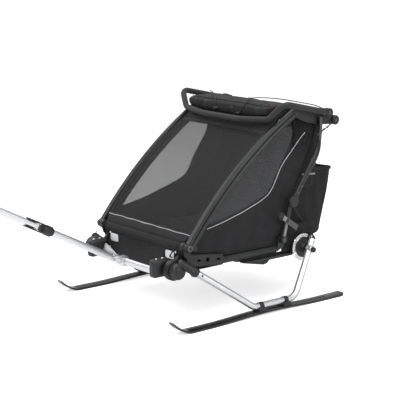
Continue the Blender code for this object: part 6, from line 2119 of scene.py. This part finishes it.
pad = swollen(padGrid("seat_back_shown", backPoint, 96, 80, "lining"), backPad["voxel"], backPad["pressure"],
              backPad["cap"])
widest = backRest["half"] - 0.001
for v in pad.data.vertices:
    rel = Vector((v.co.y - axleY, v.co.z)) - foot
    up, away = rel.dot(backUp), rel.dot(backAway)
    if away > -0.006:
        away = min(away, -0.0004) - 0.0036 * math.exp(-(v.co.x / 0.010) ** 2)
        away -= sum(0.0030 * math.exp(-((up - seamAt) / 0.006) ** 2) for seamAt in backPad["seams"])
    v.co = onBack(clamp(v.co.x, -widest, widest), up, max(away, -backPad["thickness"] - 0.0008))
smoothed(pad)
rows = [[onBack(-0.31 + 0.62 * i / 50, up, -0.0030) for i in range(51)] for up in backPad["seams"]]
backTrim = [seams("backSeams", rows, 0.007, 0.0048, 0.0007)]
mount(pad, "seat_back")
mountTrim(backTrim, "chassis")

# harness webbing: shoulder straps with pads, hip strap, crotch strap and buckle for each seat

harness = {"x": 0.145, "strap": (0.0125, -0.0008, 0.0008), "pad": (0.036, 0.0065),
           "shoulder": ((0.060, 0.377, 0.0004), (0.060, 0.347, 0.0040), (0.0588, 0.26, 0.0055), (0.050, 0.17, 0.0060),
                        (0.024, 0.108, 0.0062)),
           "cushioned": ((0.060, 0.332, 0.0072), (0.0588, 0.270, 0.0078), (0.0545, 0.205, 0.0080)),
           "hip": ((0.078, 0.060, 0.0006), (0.060, 0.070, 0.0045), (0.030, 0.086, 0.0058)),
           "crotch": ((0.0, 0.040, 0.0006), (0.0, 0.058, 0.0050), (0.0, 0.080, 0.0060)),
           "slide": (0.0375, 0.142, 0.0070), "slideSize": (0.030, 0.015, 0.004), "buckleSize": (0.046, 0.044, 0.009)}
strapFlat = bandSection(*harness["strap"])


def harnessFor(side, s):
    middle = s * harness["x"]

    def turnAt(across, up, away):
        return turnedTo(Vector((1, 0, 0)), Vector((0, *backUp)), Vector((0, *backAway)),
                        onBack(middle + across, up, away))

    def strap(name, key, k, section=strapFlat, finish="webbing"):
        line = smoothLine([onBack(middle + k * across, up, away) for across, up, away in harness[key]])
        return sweep(name, line, section, finish, upHint=(0, *backAway))

    pieces = []
    for k in (-1, 1):
        pieces.append(strap("shoulderStrap", "shoulder", k))
        pieces.append(softEdges(strap("shoulderPad", "cushioned", k, ovalSection(*harness["pad"], 8), "lining"),
                                0.0015, 2, 60))
        pieces.append(strap("hipStrap", "hip", k))
        across, up, away = harness["slide"]
        pieces.append(cuboid("strapSlide", turnAt(k * across, up, away), harness["slideSize"], edge=0.0016))
    pieces.append(strap("crotchStrap", "crotch", 1))
    pieces.append(cuboid("buckle", turnAt(0.0, 0.098, 0.0064), harness["buckleSize"], edge=0.0040, segments=4))
    bm = bmesh.new()
    bmesh.ops.create_cone(bm, cap_ends=True, segments=32, radius1=0.0115, radius2=0.0105, depth=0.0026,
                          matrix=turnAt(0.0, 0.098, 0.0112))
    pieces.append(softEdges(addPiece("buckleButton", bm, "leverGrey"), 0.0007, 2))
    whole = merged("harness_shown_" + side, pieces)
    mount(whole, "harness_" + side)
    return whole


for piece in [pad] + backTrim + [harnessFor(side, s) for side, s in sides]:
    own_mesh(piece)
print("seat done")
